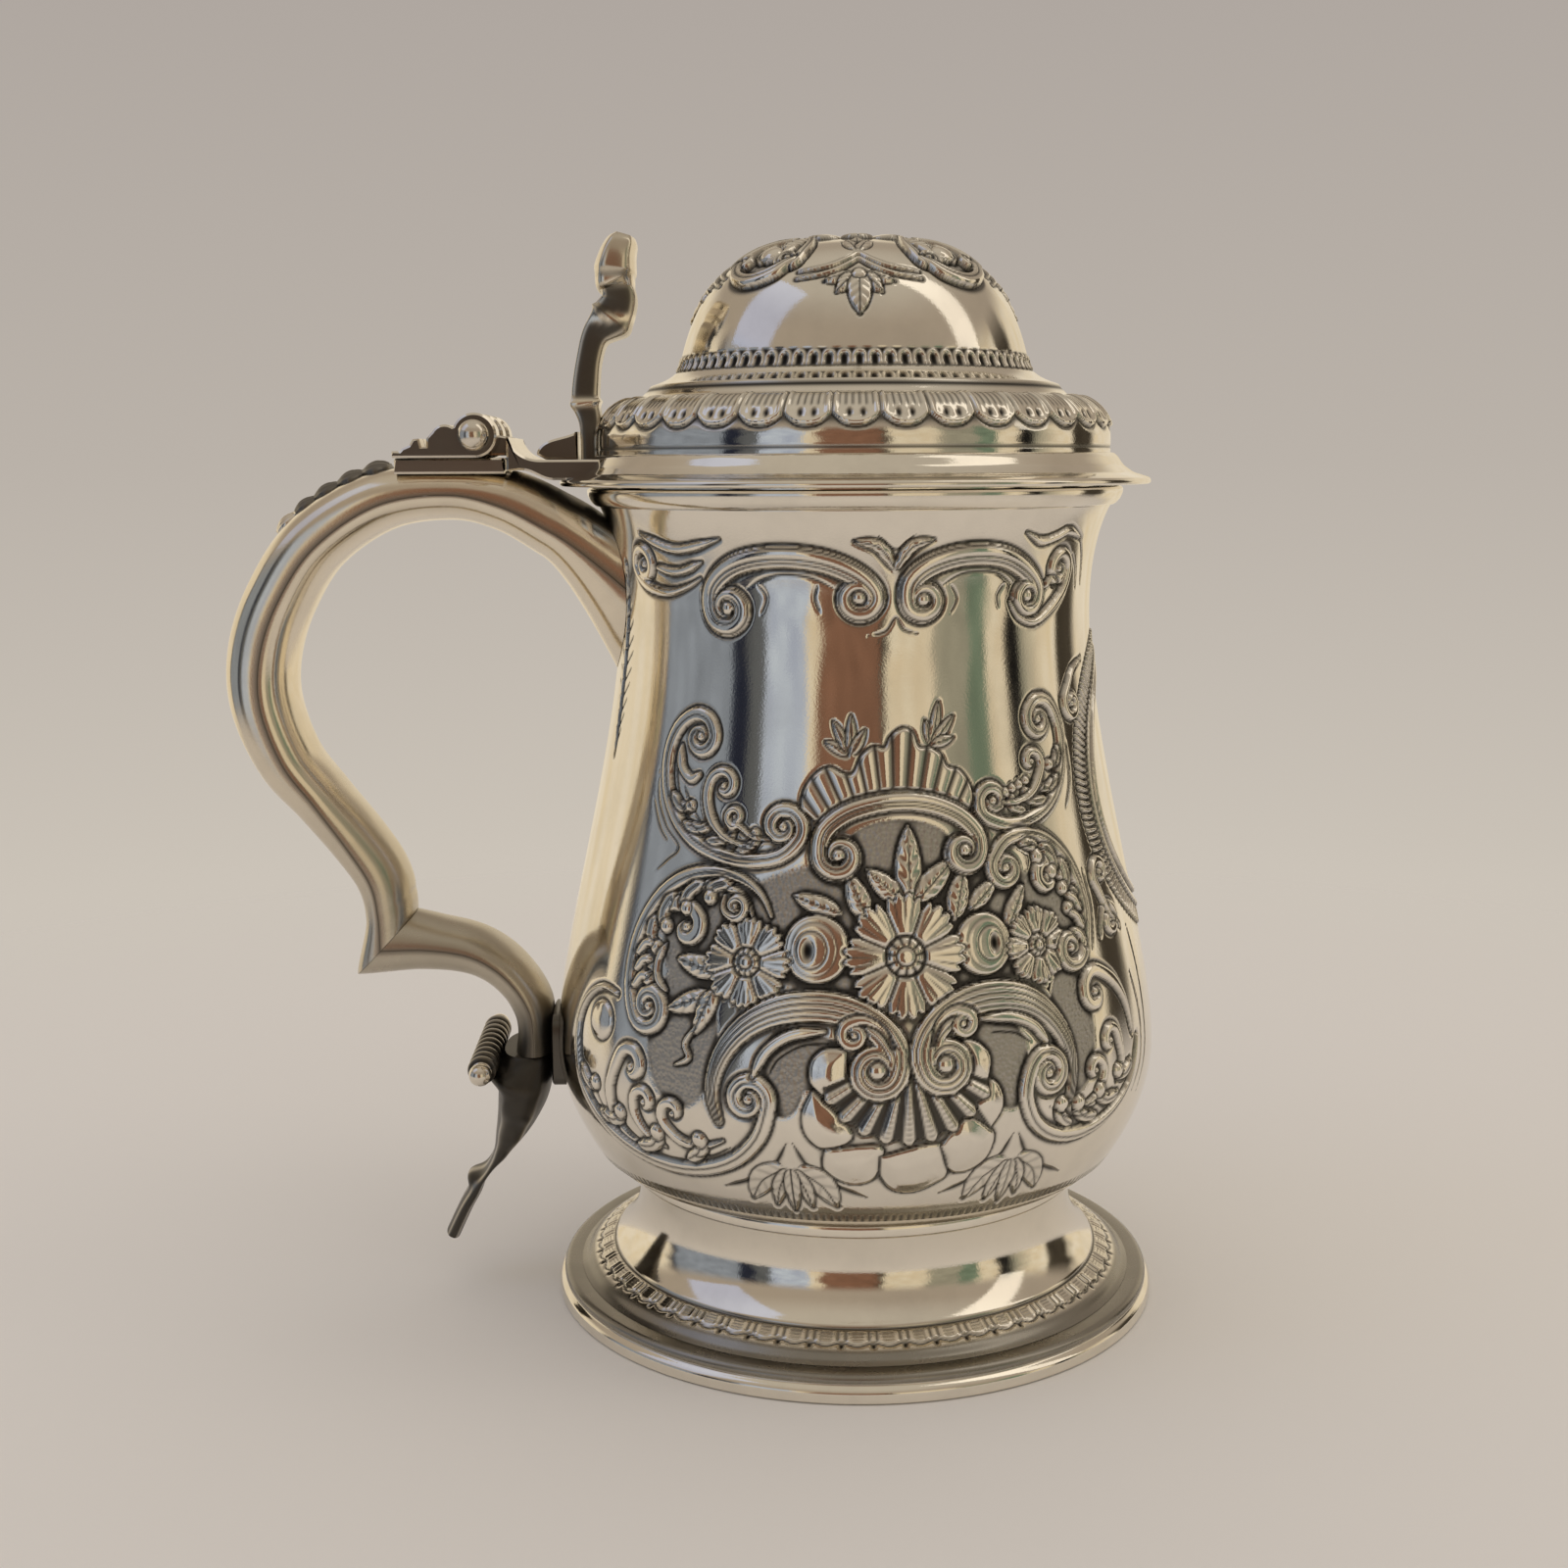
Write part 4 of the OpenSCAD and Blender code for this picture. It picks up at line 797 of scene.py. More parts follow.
def wall_curve(steps):
    """Profile of the body's wall from base to lip, in radius and height; short bends take so many steps."""
    belly, neck = (BELLY_R, BELLY_Z), (NECK_R, NECK_Z)
    return np.concatenate([
        bezier((BASE_R, BASE_Z), BASE_PULL, (BELLY_R, BELLY_LOW_PULL), belly, steps),
        bezier(belly, (BELLY_R, BELLY_HIGH_PULL), (NECK_R, NECK_LOW_PULL), neck, 2 * steps)[1:],
        bezier(neck, (NECK_R, NECK_HIGH_PULL), MOUTH_PULL, (MOUTH_R, RIM_Z - LIP_H), steps)[1:]])


def make_body():
    """The body: a chased wall, a plain inside, a flat rim and the underside."""
    wall = even(wall_curve(60), GRAIN)
    half_turns = np.linspace(-90, 90, round(math.pi * BELLY_R / GRAIN) + 1)
    relief = Relief(half_turns, wall[:, 1], wall[:, 0])
    for chase in (chase_bouquet, chase_top, chase_root_leaf, chase_side_scrolls, chase_crest, chase_frame,
                  chase_shell, chase_low_scrolls, chase_sprays, chase_base, chase_reserve):
        chase(relief)
    relief.darken_hollows()
    # The far side mirrors the near one
    marks = (np.concatenate([grid[:, :-1], grid[:, :0:-1]], axis=1)
             for grid in (relief.height, relief.patina_and_shade, relief.matting))
    turns = np.concatenate([half_turns[:-1], 180 - half_turns[:0:-1]])
    build = Build()
    lay(build, wall, turns, *marks)

    inner = MOUTH_R - BODY_WALL
    rim = rounded([(MOUTH_R, RIM_Z - LIP_H), (MOUTH_R, RIM_Z), (inner, RIM_Z), (inner, RIM_Z - LIP_H)],
                  radius=0.4)
    inside = even(wall[::-1], gap=1.5) - (BODY_WALL, 0)
    floor_z = FOOT_H + BODY_WALL
    floor = rounded([inside[-1], (FLOOR_BEND_R, FOOT_H + FLOOR_BEND_RISE), (FLOOR_R, floor_z), (0, floor_z)],
                    radius=3)
    below = rounded([(0, FOOT_H), (FOOT_SEAT_R, FOOT_H), UNDER_BEND, (BASE_R, BASE_Z)], radius=1.5)
    for line in (rim, np.concatenate([rim[-1:], inside, floor[1:]]), below):
        build.grid(spin(line[:, 0], line[:, 1], RING))
    build.piece("body_chased", "vessel", "silver_chased", "body")


# Cover: places count millimetres along its profile, from this one at the foot of the drum

COVER_START = 7.9
LOBE_PITCH, LOBE_SHIFT = 10.0, 1.5
LOBE_LOW, LOBE_DIP, LOBE_TOP, LOBE_FADE = 15.0, 2.2, 21.5, 25.0
LOBE_RULES, RULES_LOW, RULES_FULL = 7, 18.2, 19.0
PUNCH_PLACE, PUNCH_OFF, PUNCH_WIDE, PUNCH_HIGH = 17.2, 0.14, 0.06, 0.85
# Grooves round the shoulder, each with its place and its width
SHOULDER_LINES = ((11.6, 0.22), (27.0, 0.6))
TONGUES, TONGUE_LOW, TONGUE_ARCH, TONGUE_TOP, TONGUE_HALF = 78, 33.7, 34.9, 36.0, 0.36
PETAL_STEP, CROWN_R, BUTTON_R = 45.0, 10.5, 2.5


def punch(relief, gap, depth):
    """A dark mark where a distance in shares of its reach is below one."""
    relief.cut(EVERYWHERE, np.exp(-gap ** 4), depth)


def chase_shoulder(relief):
    """Lobes round the shoulder, scalloped below: each a rim about ruled lines and two punched drops."""
    turn, place = np.meshgrid(relief.turns, relief.places)
    across = (turn - LOBE_SHIFT) / LOBE_PITCH % 1 - 0.5
    edge = LOBE_LOW + LOBE_DIP * np.abs(2 * across) ** 2.5
    side = (0.5 - np.abs(across)) * LOBE_PITCH * relief.per_degree(LOBE_LOW)
    inner = np.minimum(side, place - edge)
    fade = 1 - ramp(place, LOBE_TOP, LOBE_FADE)
    lobe = ramp(inner, -0.1, 0.25) * fade
    rim = bell(inner - 0.6, 0.42)
    rules = 0.5 + 0.5 * np.cos(2 * math.pi * LOBE_RULES * across)
    relief.height += lobe * (0.35 + 0.35 * rim + 0.06 * rules)
    ruled = ramp(inner, 0.9, 1.3) * ramp(place, RULES_LOW, RULES_FULL)
    relief.stain(0.8 * lobe * ruled * (1 - rules) ** 2)
    relief.cut(EVERYWHERE, bell(inner + 0.15, 0.28) * fade, 0.25)
    for middle in (-PUNCH_OFF, PUNCH_OFF):
        punch(relief, np.hypot((across - middle) / PUNCH_WIDE, (place - PUNCH_PLACE) / PUNCH_HIGH), 0.3)
    for line, half in SHOULDER_LINES:
        relief.cut(EVERYWHERE, bell(place - line, half), 0.14)


def chase_tongues(relief):
    """Small arched tongues round the foot of the dome, hollow inside."""
    turn, place = np.meshgrid(relief.turns, relief.places)
    across = turn * TONGUES / 360 % 1 - 0.5
    rise = np.maximum(place - TONGUE_ARCH, 0) / (TONGUE_TOP - TONGUE_ARCH)
    rim = bell(np.hypot(across / TONGUE_HALF, rise) - 1, 0.3)
    band = ramp(place, TONGUE_LOW - 0.3, TONGUE_LOW) * (1 - ramp(place, TONGUE_TOP + 0.3, TONGUE_TOP + 0.7))
    relief.height += band * (0.4 * rim - 0.1)
    relief.stain(band * (1 - rim) ** 2)
    relief.cut(EVERYWHERE, bell(place - TONGUE_LOW + 0.4, 0.2), 0.15)


def chase_dome(relief):
    """Pendant leaves, peaked double lines and scrolled cartouches, four of each."""
    for middle in (-92, -2, 88):
        for reach, low, half in ((-13, 48.9, 1.2), (13, 48.9, 1.2), (-8, 46.6, 1.4), (8, 46.6, 1.4),
                                 (0, 42.6, 2.0)):
            relief.leaf((middle + 0.2 * reach, 50.6), (middle + reach, low), half, 0.6)
        relief.bead((middle, 50.6), 1.2, 0.6)
        for lift in (0, 1.7):
            peak = [(middle + off, place + lift) for off, place in
                    ((-24, 49.6), (-12, 50.9), (-5, 52.8), (0, 54.6), (5, 52.8), (12, 50.9), (24, 49.6))]
            relief.moulding(peak, 0.5, 0.45, ends=(0.4, 0.4))
        relief.leaf((middle, 58), (middle, 66), 1.6, 0.5)
        for way in (-1, 1):
            relief.leaf((middle + way, 58), (middle + 9 * way, 63), 1.2, 0.4, bend=0.1 * way)
    for middle in (-47, 43):
        relief.ground((middle, 57), 19, 8)
        for way in (-1, 1):
            sides = [(middle + off * way, place) for off, place in ((3, 66), (13, 64), (19, 59.4), (18, 54))]
            relief.scroll(sides, 1.0, end=(middle + 13 * way, 54.6, -1.1 * way), height=1.2, grooves=TWIN)
            inner = [(middle + off * way, place) for off, place in ((2, 54.4), (7, 57.6), (8, 61.4))]
            relief.moulding(inner, 0.9, 0.7)
        below = [(middle + off, place) for off, place in
                 ((-17, 54.6), (-10, 51), (0, 49.6), (10, 51), (17, 54.6))]
        relief.moulding(below, 1.4, 1.3, grooves=TWIN)
        relief.bead((middle, 57), 2.2, 1.2)
        relief.leaf((middle, 60), (middle, 67), 1.7, 0.8)


def chase_crown(relief):
    """A rosette of petals on the top of the cover, about a button."""
    turn, place = np.meshgrid(relief.turns, relief.places)
    gap = relief.places[-1] - place
    half_step = PETAL_STEP / 2
    part = np.abs((turn + half_step) % PETAL_STEP - half_step) / half_step
    edge = CROWN_R * (1 - 0.25 * part ** 2.5)
    petal = 1 - ramp(gap, edge - 0.2, edge + 0.2)
    relief.height += petal * (1.0 * (1 - 0.7 * part ** 2) * ramp(gap, 0, 9) - relief.height)
    for mark in (bell((1 - part) * gap * math.radians(half_step), 0.26) * petal * (gap > 2.4),
                 bell(part * gap * math.radians(half_step), 0.18) * petal * (gap > 4),
                 bell(gap - edge - 0.2, 0.25), bell(gap - BUTTON_R - 0.1, 0.25)):
        relief.cut(EVERYWHERE, mark, 0.25)
    relief.height += 1.0 * np.sqrt(np.clip(1 - (gap / BUTTON_R) ** 2, 0, 1))


def shoulder_curve(steps):
    """Profile of the cover's shoulder, a quarter of an oval, in radius and height."""
    quarter = np.radians(np.linspace(0, 90, steps))
    return np.stack([SHOULDER_R + (DRUM_R - SHOULDER_R) * np.cos(quarter),
                     SHOULDER_Z + (STEP_Z - SHOULDER_Z) * np.sin(quarter)], axis=1)


def make_cover():
    """The cover: drum, lobed shoulder, step, hollow and chased dome, with its inside."""
    shoulder = shoulder_curve(40)
    hollow, dome = (STEP_R, HOLLOW_Z), (DOME_R, DOME_Z)
    line = np.concatenate([
        [(DRUM_R, DRUM_Z + SEAM)], shoulder, rounded([shoulder[-1], *STEP_BENDS, hollow], radius=0.5)[1:],
        bezier(hollow, *HOLLOW_PULLS, dome, 24)[1:], bezier(dome, *DOME_PULLS, (0, TOP_Z), 90)[1:]])
    line = even(line, GRAIN)
    places = COVER_START + np.linalg.norm(line[1] - line[0]) * np.arange(len(line))
    half_turns = np.linspace(-90, 90, round(math.pi * DRUM_R / GRAIN), endpoint=False)
    relief = Relief(half_turns, places, line[:, 0])
    for chase in (chase_dome, chase_shoulder, chase_tongues, chase_crown):
        chase(relief)
    relief.darken_hollows()
    build = Build()
    lay(build, line, np.concatenate([half_turns, half_turns + 180]),
        *(np.tile(grid, (1, 2)) for grid in (relief.height, relief.patina_and_shade, relief.matting)))
    inside = even(line - LID_WALL * normals(line), gap=1.0)[::-1]
    inside = np.concatenate([np.maximum(inside, (0, 0)), line[:1]])
    build.grid(spin(inside[:, 0], inside[:, 1], RING))
    build.piece("lid_dome_chased", "lid", "silver_chased", "lid_dome")


# Turned rings and the foot

# How much darker the top of the foot wire and the outer part of the foot's slope are
SLOPE_DARKENING = 0.65


def lathe(name, profile, radius, body, node, darken_from=None):
    """A ring turned from a closed profile with rounded corners, darker above a height if one is given."""
    line = rounded(list(profile) + list(profile[:2]), radius)[1:-1]
    line = np.concatenate([line, line[:1]])
    darkened_share = SLOPE_DARKENING * ramp(line[:, 1], darken_from, darken_from + 0.5)[:, None] if darken_from else 0.0
    build = Build().grid(spin(line[:, 0], line[:, 1], RING), patina_and_shade=darkened_share)
    build.piece(name, body, "silver_plain", node, sharp=50)


def make_rings():
    """Flange and bezel of the cover, lip wire, collar and foot wire; profiles are in radius and height."""
    inner, drum, edge = BEZEL_R + SEAM, DRUM_R + SEAM, FLANGE_R - 0.3
    flange = [(inner, LID_Z), (edge, LID_Z), (FLANGE_R, LID_Z + 0.55), (edge, LID_Z + 1.15), *FLANGE_HOLLOW,
              (DRUM_R + 0.6, FLANGE_TOP), (drum, FLANGE_TOP), (drum, DRUM_Z), (inner, DRUM_Z)]
    lathe("flange_turned", flange, 0.4, "lid", "lid_flange")
    inner = BEZEL_R - BEZEL_T
    bezel = [(inner, BEZEL_LOW), (BEZEL_R - 0.4, BEZEL_LOW), (BEZEL_R, BEZEL_LOW + 0.6), (BEZEL_R, DRUM_Z),
             (inner, DRUM_Z)]
    lathe("bezel_turned", bezel, 0.3, "lid", "lid_bezel")
    lip = [(MOUTH_R + SEAM + out * LIP_T, RIM_Z - LIP_H + rise * LIP_H) for out, rise in
           ((0, 0), (0.36, 0.06), (0.8, 0.36), (1, 0.68), (1, 0.88), (0.8, 1), (0, 1))]
    lathe("lip_wire_turned", lip, 0.5, "vessel", "lip_wire")
    top, outer = FOOT_H - SEAM, FOOT_SEAT_R + COLLAR_T
    low = top - COLLAR_H
    collar = [(COLLAR_IN_LOW, low), (outer - 0.3, low), (outer, low + 0.5), (outer, top - 0.5),
              (outer - 0.3, top), (COLLAR_IN_HIGH, top)]
    lathe("collar_turned", collar, 0.4, "vessel", "foot_collar")
    wire = [(FOOT_R - back, rise * FOOT_WIRE_H) for back, rise in
            ((FOOT_WIRE_W, 0), (0.4, 0), (0, 0.08), (0, 0.42), (0.4, 0.53), (1.2, 0.64), (0.9, 0.78),
             (1.1, 0.9), (1.8, 1), (FOOT_WIRE_W, 1))]
    lathe("foot_wire_turned", wire, 0.35, "vessel", "foot_wire", 0.6 * FOOT_WIRE_H)


BORDER_UNITS, BORDER_BARS, BORDER_RULES = 56, 4, 9
BORDER_IN, BORDER_OUT = 47.2, 51.7
# Shares of the border's width for the scalloped line, its dip and its drops, and of a unit for half a cell
BORDER_LINE, BORDER_DIP, BORDER_DROP, CELL_HALF = 0.63, 0.07, 0.68, 0.17


def chase_border(relief):
    """Upright bars and ruled cells round the slope of the foot, over a scalloped line with drops."""
    turn, _ = np.meshgrid(relief.turns, relief.places)
    wide = BORDER_OUT - BORDER_IN
    share = (relief.radii[:, None] - BORDER_IN) / wide + 0 * turn
    across = turn * BORDER_UNITS / 360 % 1 - 0.5
    lobes = BORDER_LINE + BORDER_DIP * np.cos(2 * math.pi * across)
    zone = ramp(share, 0.06, 0.12) * (1 - ramp(share, lobes - 0.1, lobes - 0.04))
    bars = 0.5 + 0.5 * np.cos(2 * math.pi * BORDER_BARS * across)
    rules = 0.5 + 0.5 * np.cos(2 * math.pi * BORDER_RULES * share)
    pattern = np.where(np.abs(across) < CELL_HALF, rules, bars)
    relief.height += 0.25 * zone * pattern
    relief.stain(0.75 * zone * (1 - pattern) ** 2)
    for line in (0.0, lobes):
        relief.cut(EVERYWHERE, bell((share - line) * wide, 0.2), 0.22)
    punch(relief, np.hypot((0.5 - np.abs(across)) / 0.09, (share - BORDER_DROP) * wide / 0.6), 0.25)
    # Darker on the outer part of the slope, down to the wire
    relief.stain(SLOPE_DARKENING * ramp(share, 0.72, 0.95))


def make_foot():
    """The spreading foot with its sloping border, and its inside."""
    neck = bezier((FOOT_SEAT_R, FOOT_H - SEAM), *FOOT_PULLS, (CREASE_R, CREASE_Z), 60)
    slope = rounded([neck[-1], *SLOPE_BENDS, (SLOPE_END_R, FOOT_WIRE_H + SEAM)], radius=0.4)
    line = even(np.concatenate([neck, slope[1:]]), GRAIN)[::-1]
    turns = np.linspace(-180, 180, round(2 * math.pi * SLOPE_R / GRAIN), endpoint=False)
    relief = Relief(turns, np.arange(len(line)) * GRAIN, line[:, 0])
    chase_border(relief)
    build = Build()
    lay(build, line, turns, relief.height, relief.patina_and_shade, relief.matting)
    inside = even((line - FOOT_WALL * normals(line))[::-1], gap=1.0)
    inside[:, 1] = np.clip(inside[:, 1], FOOT_WIRE_H + SEAM, FOOT_H - SEAM)
    inside = np.concatenate([line[-1:], inside, line[:1]])
    build.grid(spin(inside[:, 0], inside[:, 1], RING))
    build.piece("foot_chased", "vessel", "silver_plain", "foot")


# Handle: each row is share of the reach, share of the rise, back depth, belly depth and width

REACH, BACK_DEPTH, BELLY_DEPTH = 66.0, 7.4, 5.5
HANDLE_W, MITRE_W, SHELL_T = 24.0, 16.0, 1.1
BACK_SQUARE, BELLY_SQUARE = 2.8, 2.1
PAD_Z, PAD_T, PAD_W, PAD_H, PAD_SQUARE = 48.0, 1.0, 17.0, 14.0, 0.35
SEAT_Z, SCROLL_LOW = 158.15, PAD_Z - 0.4
ROOT_TOP, ROOT_LOW, ROOT_PULL = 149.0, 121.0, 5.0
HANDLE = ((0.115, 0.897, 0.96, 0.96, 1), (0.25, 0.937, 0.9, 0.87, 1), (0.401, 0.957, 0.69, 0.85, 1),
          (0.591, 0.94, 0.85, 0.84, 0.92), (0.755, 0.872, 1, 0.82, 0.8), (0.848, 0.784, 1.01, 0.89, 0.68),
          (0.892, 0.695, 1, 0.96, 0.58), (0.887, 0.608, 0.93, 1, 0.5), (0.821, 0.512, 0.8, 1, 0.4),
          (0.726, 0.439, 0.65, 1.02, 0.3), (0.629, 0.363, 0.53, 1.15, 0.15), (0.561, 0.301, 0.46, 1.2, 0.05),
          (0.535, 0.245, 0.43, 1.15, 0), (0.523, 0.185, 0.74, 1.11, 0))
# Steps from one station to the next, and points across half a section
SWEEP, SECTION = 14, 36
WHOLE_TURN = np.linspace(0, 2 * math.pi, 2 * SECTION, endpoint=False)
# Darkening: tarnish along the seams, a painted shadow in the nook under the hinge, and darker towards the
# bottom of the handle and of the lower scroll
SEAM_TARNISH, NOOK_SHADOW, HANDLE_LOW_DARKENING, SCROLL_DARKENING, SCROLL_LIGHTENING = 0.75, 0.85, 0.3, 0.88, 0.5
# Where it comes or goes: the nook in X from the pin and in height, the others in height
NOOK_X, NOOK_Z, HANDLE_FADE, SCROLL_FADE = (2, 14), (130, 140), (72, 115), (50, 62)


def mix(a, b, t):
    """The value a share t of the way from a to b."""
    return a + (b - a) * t


def signed_power(value, power):
    """A power that keeps the sign."""
    return np.sign(value) * np.abs(value) ** power


WALL = wall_curve(30)


def wall_x(y, z):
    """Where the body's wall lies on the handle side, a seam away."""
    return -np.sqrt((np.interp(z, WALL[:, 1], WALL[:, 0]) + SEAM) ** 2 - y ** 2)


# Stations of the upper and of the lower scroll: x, z, back depth, belly depth and width
PAD_X = wall_x(0, PAD_Z) + SEAM - PAD_T
STATIONS = np.array([(-(mix(-PAD_X - PAD_T, MOUTH_R, rise) + REACH * reach), mix(PAD_Z, SEAT_Z, rise),
                      back * BACK_DEPTH, belly * BELLY_DEPTH, mix(MITRE_W, HANDLE_W, wide))
                     for reach, rise, back, belly, wide in HANDLE])
MITRE = STATIONS[-1] + (2 * SEAM, 0, 0, 0, 0)
SCROLL = np.array([
    MITRE, (mix(MITRE[0], PAD_X, 0.26), MITRE[1] + 0.1, 5.0, 4.9, 16.5),
    (mix(MITRE[0], PAD_X, 0.50), mix(MITRE[1], PAD_Z, 0.05), 4.5, 4.4, 17),
    (mix(MITRE[0], PAD_X, 0.67), mix(MITRE[1], PAD_Z, 0.18), 4.0, 4.0, 17.5),
    (mix(MITRE[0], PAD_X, 0.80), mix(MITRE[1], PAD_Z, 0.38), 3.7, 3.7, 18),
    (PAD_X - 3.9, mix(MITRE[1], PAD_Z, 0.60), 3.6, 3.7, 18.4),
    (PAD_X - 3.3, PAD_Z + 4, 3.4, 3.5, 18.8), (PAD_X - 3.3, SCROLL_LOW, 3.8, 3.8, 19)])
SHIELD_TOP = SCROLL_LOW - SEAM


def sweep(stations):
    """Fine stations along a sweep, and the normals of its path in X and Z."""
    fine = through(stations, SWEEP)
    ahead = np.concatenate([fine[1:, :2], fine[-1:, :2]])
    behind = np.concatenate([fine[:1, :2], fine[:-1, :2]])
    way = (ahead - behind) / np.linalg.norm(ahead - behind, axis=1)[:, None]
    return fine, np.stack([way[:, 1], -way[:, 0]], axis=1)


def mitre_lean():
    """Slope of the mitre that halves the angle between the two scrolls."""
    end, start = sweep(STATIONS)[1][-1], sweep(SCROLL)[1][0]
    middle = (end + start) / np.linalg.norm(end + start)
    return middle @ (end[1], -end[0]) / (middle @ end)


def half_section(wide, deep, square):
    """Half a shell's section: from side to side outside, and back again inside."""
    a = np.radians(np.linspace(0, 180, SECTION))
    cos, sin = signed_power(np.cos(a), 2 / square), np.abs(np.sin(a)) ** (2 / square)
    outer = np.stack([wide / 2 * cos, deep * sin], axis=1)
    inner = np.stack([(wide / 2 - SHELL_T) * cos, (deep - SHELL_T) * sin], axis=1)
    return np.concatenate([outer, inner[::-1]])


def shell_rows(stations, way, mitred_end, stop_x, stop_z):
    """Rows of a half shell, back (way 1) or belly (-1), leaning to the mitre over two stations at one end."""
    fine, out = sweep(stations)
    place, last = np.arange(len(fine)) / SWEEP, len(stations) - 1
    share = np.clip((place - last) / 2 + 1, 0, 1) if mitred_end else -np.clip(1 - place / 2, 0, 1)
    rows = []
    for (x, z, back, belly, wide), n, slant in zip(fine, out, mitre_lean() * share):
        section = half_section(wide, *((back, BACK_SQUARE) if way > 0 else (belly, BELLY_SQUARE)))
        deep = way * (section[:, 1] + SEAM / 2)
        rows.append(np.stack([np.minimum(stop_x, x + (n[0] + n[1] * slant) * deep), section[:, 0] * way,
                              np.minimum(stop_z, z + (n[1] - n[0] * slant) * deep)], axis=1))
    return np.array(rows)


def root_rows(first):
    """Rows that carry the first section of the handle on to the wall of the body."""
    fine, out = sweep(STATIONS)
    deep = (first[:, [0, 2]] - fine[0, :2]) @ out[0]
    middle = mix(ROOT_TOP, ROOT_LOW, 0.45)
    height = np.where(deep > 0, mix(middle, ROOT_TOP, deep / fine[0, 2]),
                      mix(middle, ROOT_LOW, -deep / fine[0, 3]))
    wall = np.stack([wall_x(first[:, 1], height), first[:, 1], height], axis=1)
    pull = STATIONS[0, :2] - STATIONS[1, :2]
    pull = first + ROOT_PULL * np.array([pull[0], 0, pull[1]]) / np.linalg.norm(pull)
    return np.array([(1 - t) ** 2 * first + 2 * t * (1 - t) * pull + t * t * wall
                     for t in np.linspace(1, 0, 16)[:-1]])


def shell_piece(node, rows, way, darkening):
    """A half shell closed at both ends, dark along its seams and with a painted shadow on the back's crest in
    the nook under the hinge; darkening is given by row.
    """
    marks = np.repeat(darkening[:, None], rows.shape[1], axis=1)
    marks[:, [0, SECTION - 1]] = SEAM_TARNISH
    if way > 0:
        # Painted shadow: the back's crest darkens in the nook under the hinge, near the cover's flange
        crest = ramp(np.sin(np.linspace(0, math.pi, SECTION)), 0.3, 0.95)
        nook = ramp(rows[:, :SECTION, 0] - HINGE_X, *NOOK_X) * ramp(rows[:, :SECTION, 2], *NOOK_Z)
        marks[:, :SECTION] = np.maximum(marks[:, :SECTION], NOOK_SHADOW * crest * nook)
    else:
        rows, marks = rows[:, ::-1], marks[:, ::-1]
    build = Build().grid(rows, patina_and_shade=marks)
    for end in (rows[0], rows[-1]):
        build.grid(np.stack([end[:SECTION], end[:SECTION - 1:-1]]), wrap=False)
    build.piece(node + "_smooth", "vessel", "silver_plain", node, sharp=50, finish="silver_handle")


def make_handle():
    """The hollow double-scroll handle: two half shells above the mitre and two below it."""
    for way, part in ((1, "back"), (-1, "belly")):
        upper = shell_rows(STATIONS, way, True, 0, SEAT_Z)
        upper = np.concatenate([root_rows(upper[0]), upper])
        high = upper[..., 2].mean(axis=1)
        # Darker towards the bottom of the upper handle
        shell_piece("handle_" + part, upper, way, HANDLE_LOW_DARKENING * (1 - ramp(high, *HANDLE_FADE)))
        lower = shell_rows(SCROLL, way, False, PAD_X - SEAM, RIM_Z)
        lower[..., 2] = np.maximum(lower[..., 2], SCROLL_LOW)
        high = lower[..., 2].mean(axis=1)
        # Dark at the foot of the lower scroll, lighter higher up
        shell_piece("scroll_" + part, lower, way, SCROLL_DARKENING - SCROLL_LIGHTENING * ramp(high, *SCROLL_FADE))


def make_pad():
    """The rounded pad between the lower scroll and the body."""
    a = np.radians(np.linspace(0, 360, 96, endpoint=False))
    y, z = PAD_W / 2 * signed_power(np.cos(a), PAD_SQUARE), PAD_H / 2 * signed_power(np.sin(a), PAD_SQUARE)
    rows = [np.stack([x + 0 * a, share * y, PAD_Z + share * z], axis=1)
            for x, share in ((PAD_X, 0.0), (PAD_X, 0.95), (PAD_X + 0.3, 1), (wall_x(y, PAD_Z + z), 1))]
    # As dark as the foot of the lower scroll
    build = Build().grid(np.array(rows), patina_and_shade=SCROLL_DARKENING)
    build.piece("pad_rounded", "vessel", "silver_plain", "lower_pad", sharp=50)


# Cast pieces

def bar_rows(stations, square, swell):
    """Rows of a full bar along stations of x, z, half thickness and width; swell adds by height and angle."""
    fine, out = sweep(stations)
    cos, sin = (signed_power(f(WHOLE_TURN), 2 / square) for f in (np.cos, np.sin))
    rows = []
    for (x, z, half, wide), n in zip(fine, out):
        more = swell(z, WHOLE_TURN)
        deep = (half + more) * sin
        rows.append(np.stack([x + n[0] * deep, (wide / 2 + more) * cos, z + n[1] * deep], axis=1))
    return np.array(rows)


def closed(rows):
    """Rows of a bar with a middle point added at both ends."""
    ends = [np.repeat(row.mean(axis=0)[None], len(row), axis=0)[None] for row in (rows[0], rows[-1])]
    return np.concatenate([ends[0], rows, ends[1]])


# Terminal: each row is distance from the pad, share of the drop, half thickness and width
SHIELD_DROP, SHIELD_OUT, SHIELD_HALF = 37.6, 4.8, 4.9
SHIELD = ((SHIELD_OUT, 0, SHIELD_HALF, 19), (SHIELD_OUT, 0.08, 5.1, 25), (6.0, 0.22, 4.9, 27),
          (7.8, 0.38, 3.6, 21), (10.3, 0.53, 1.9, 16), (12.5, 0.62, 1.0, 14), (14.3, 0.69, 0.95, 13),
          (15.9, 0.76, 1.45, 12), (17.9, 0.85, 1.6, 11), (20.6, 1, 1.65, 9))
SHIELD_LOBES, SHIELD_EASE = 7, 0.25
# How dark the terminal is all over, and how much lighter its rim and spine are lower down
SHIELD_DARKENING, SHIELD_LIGHTENING = 0.93, 0.45


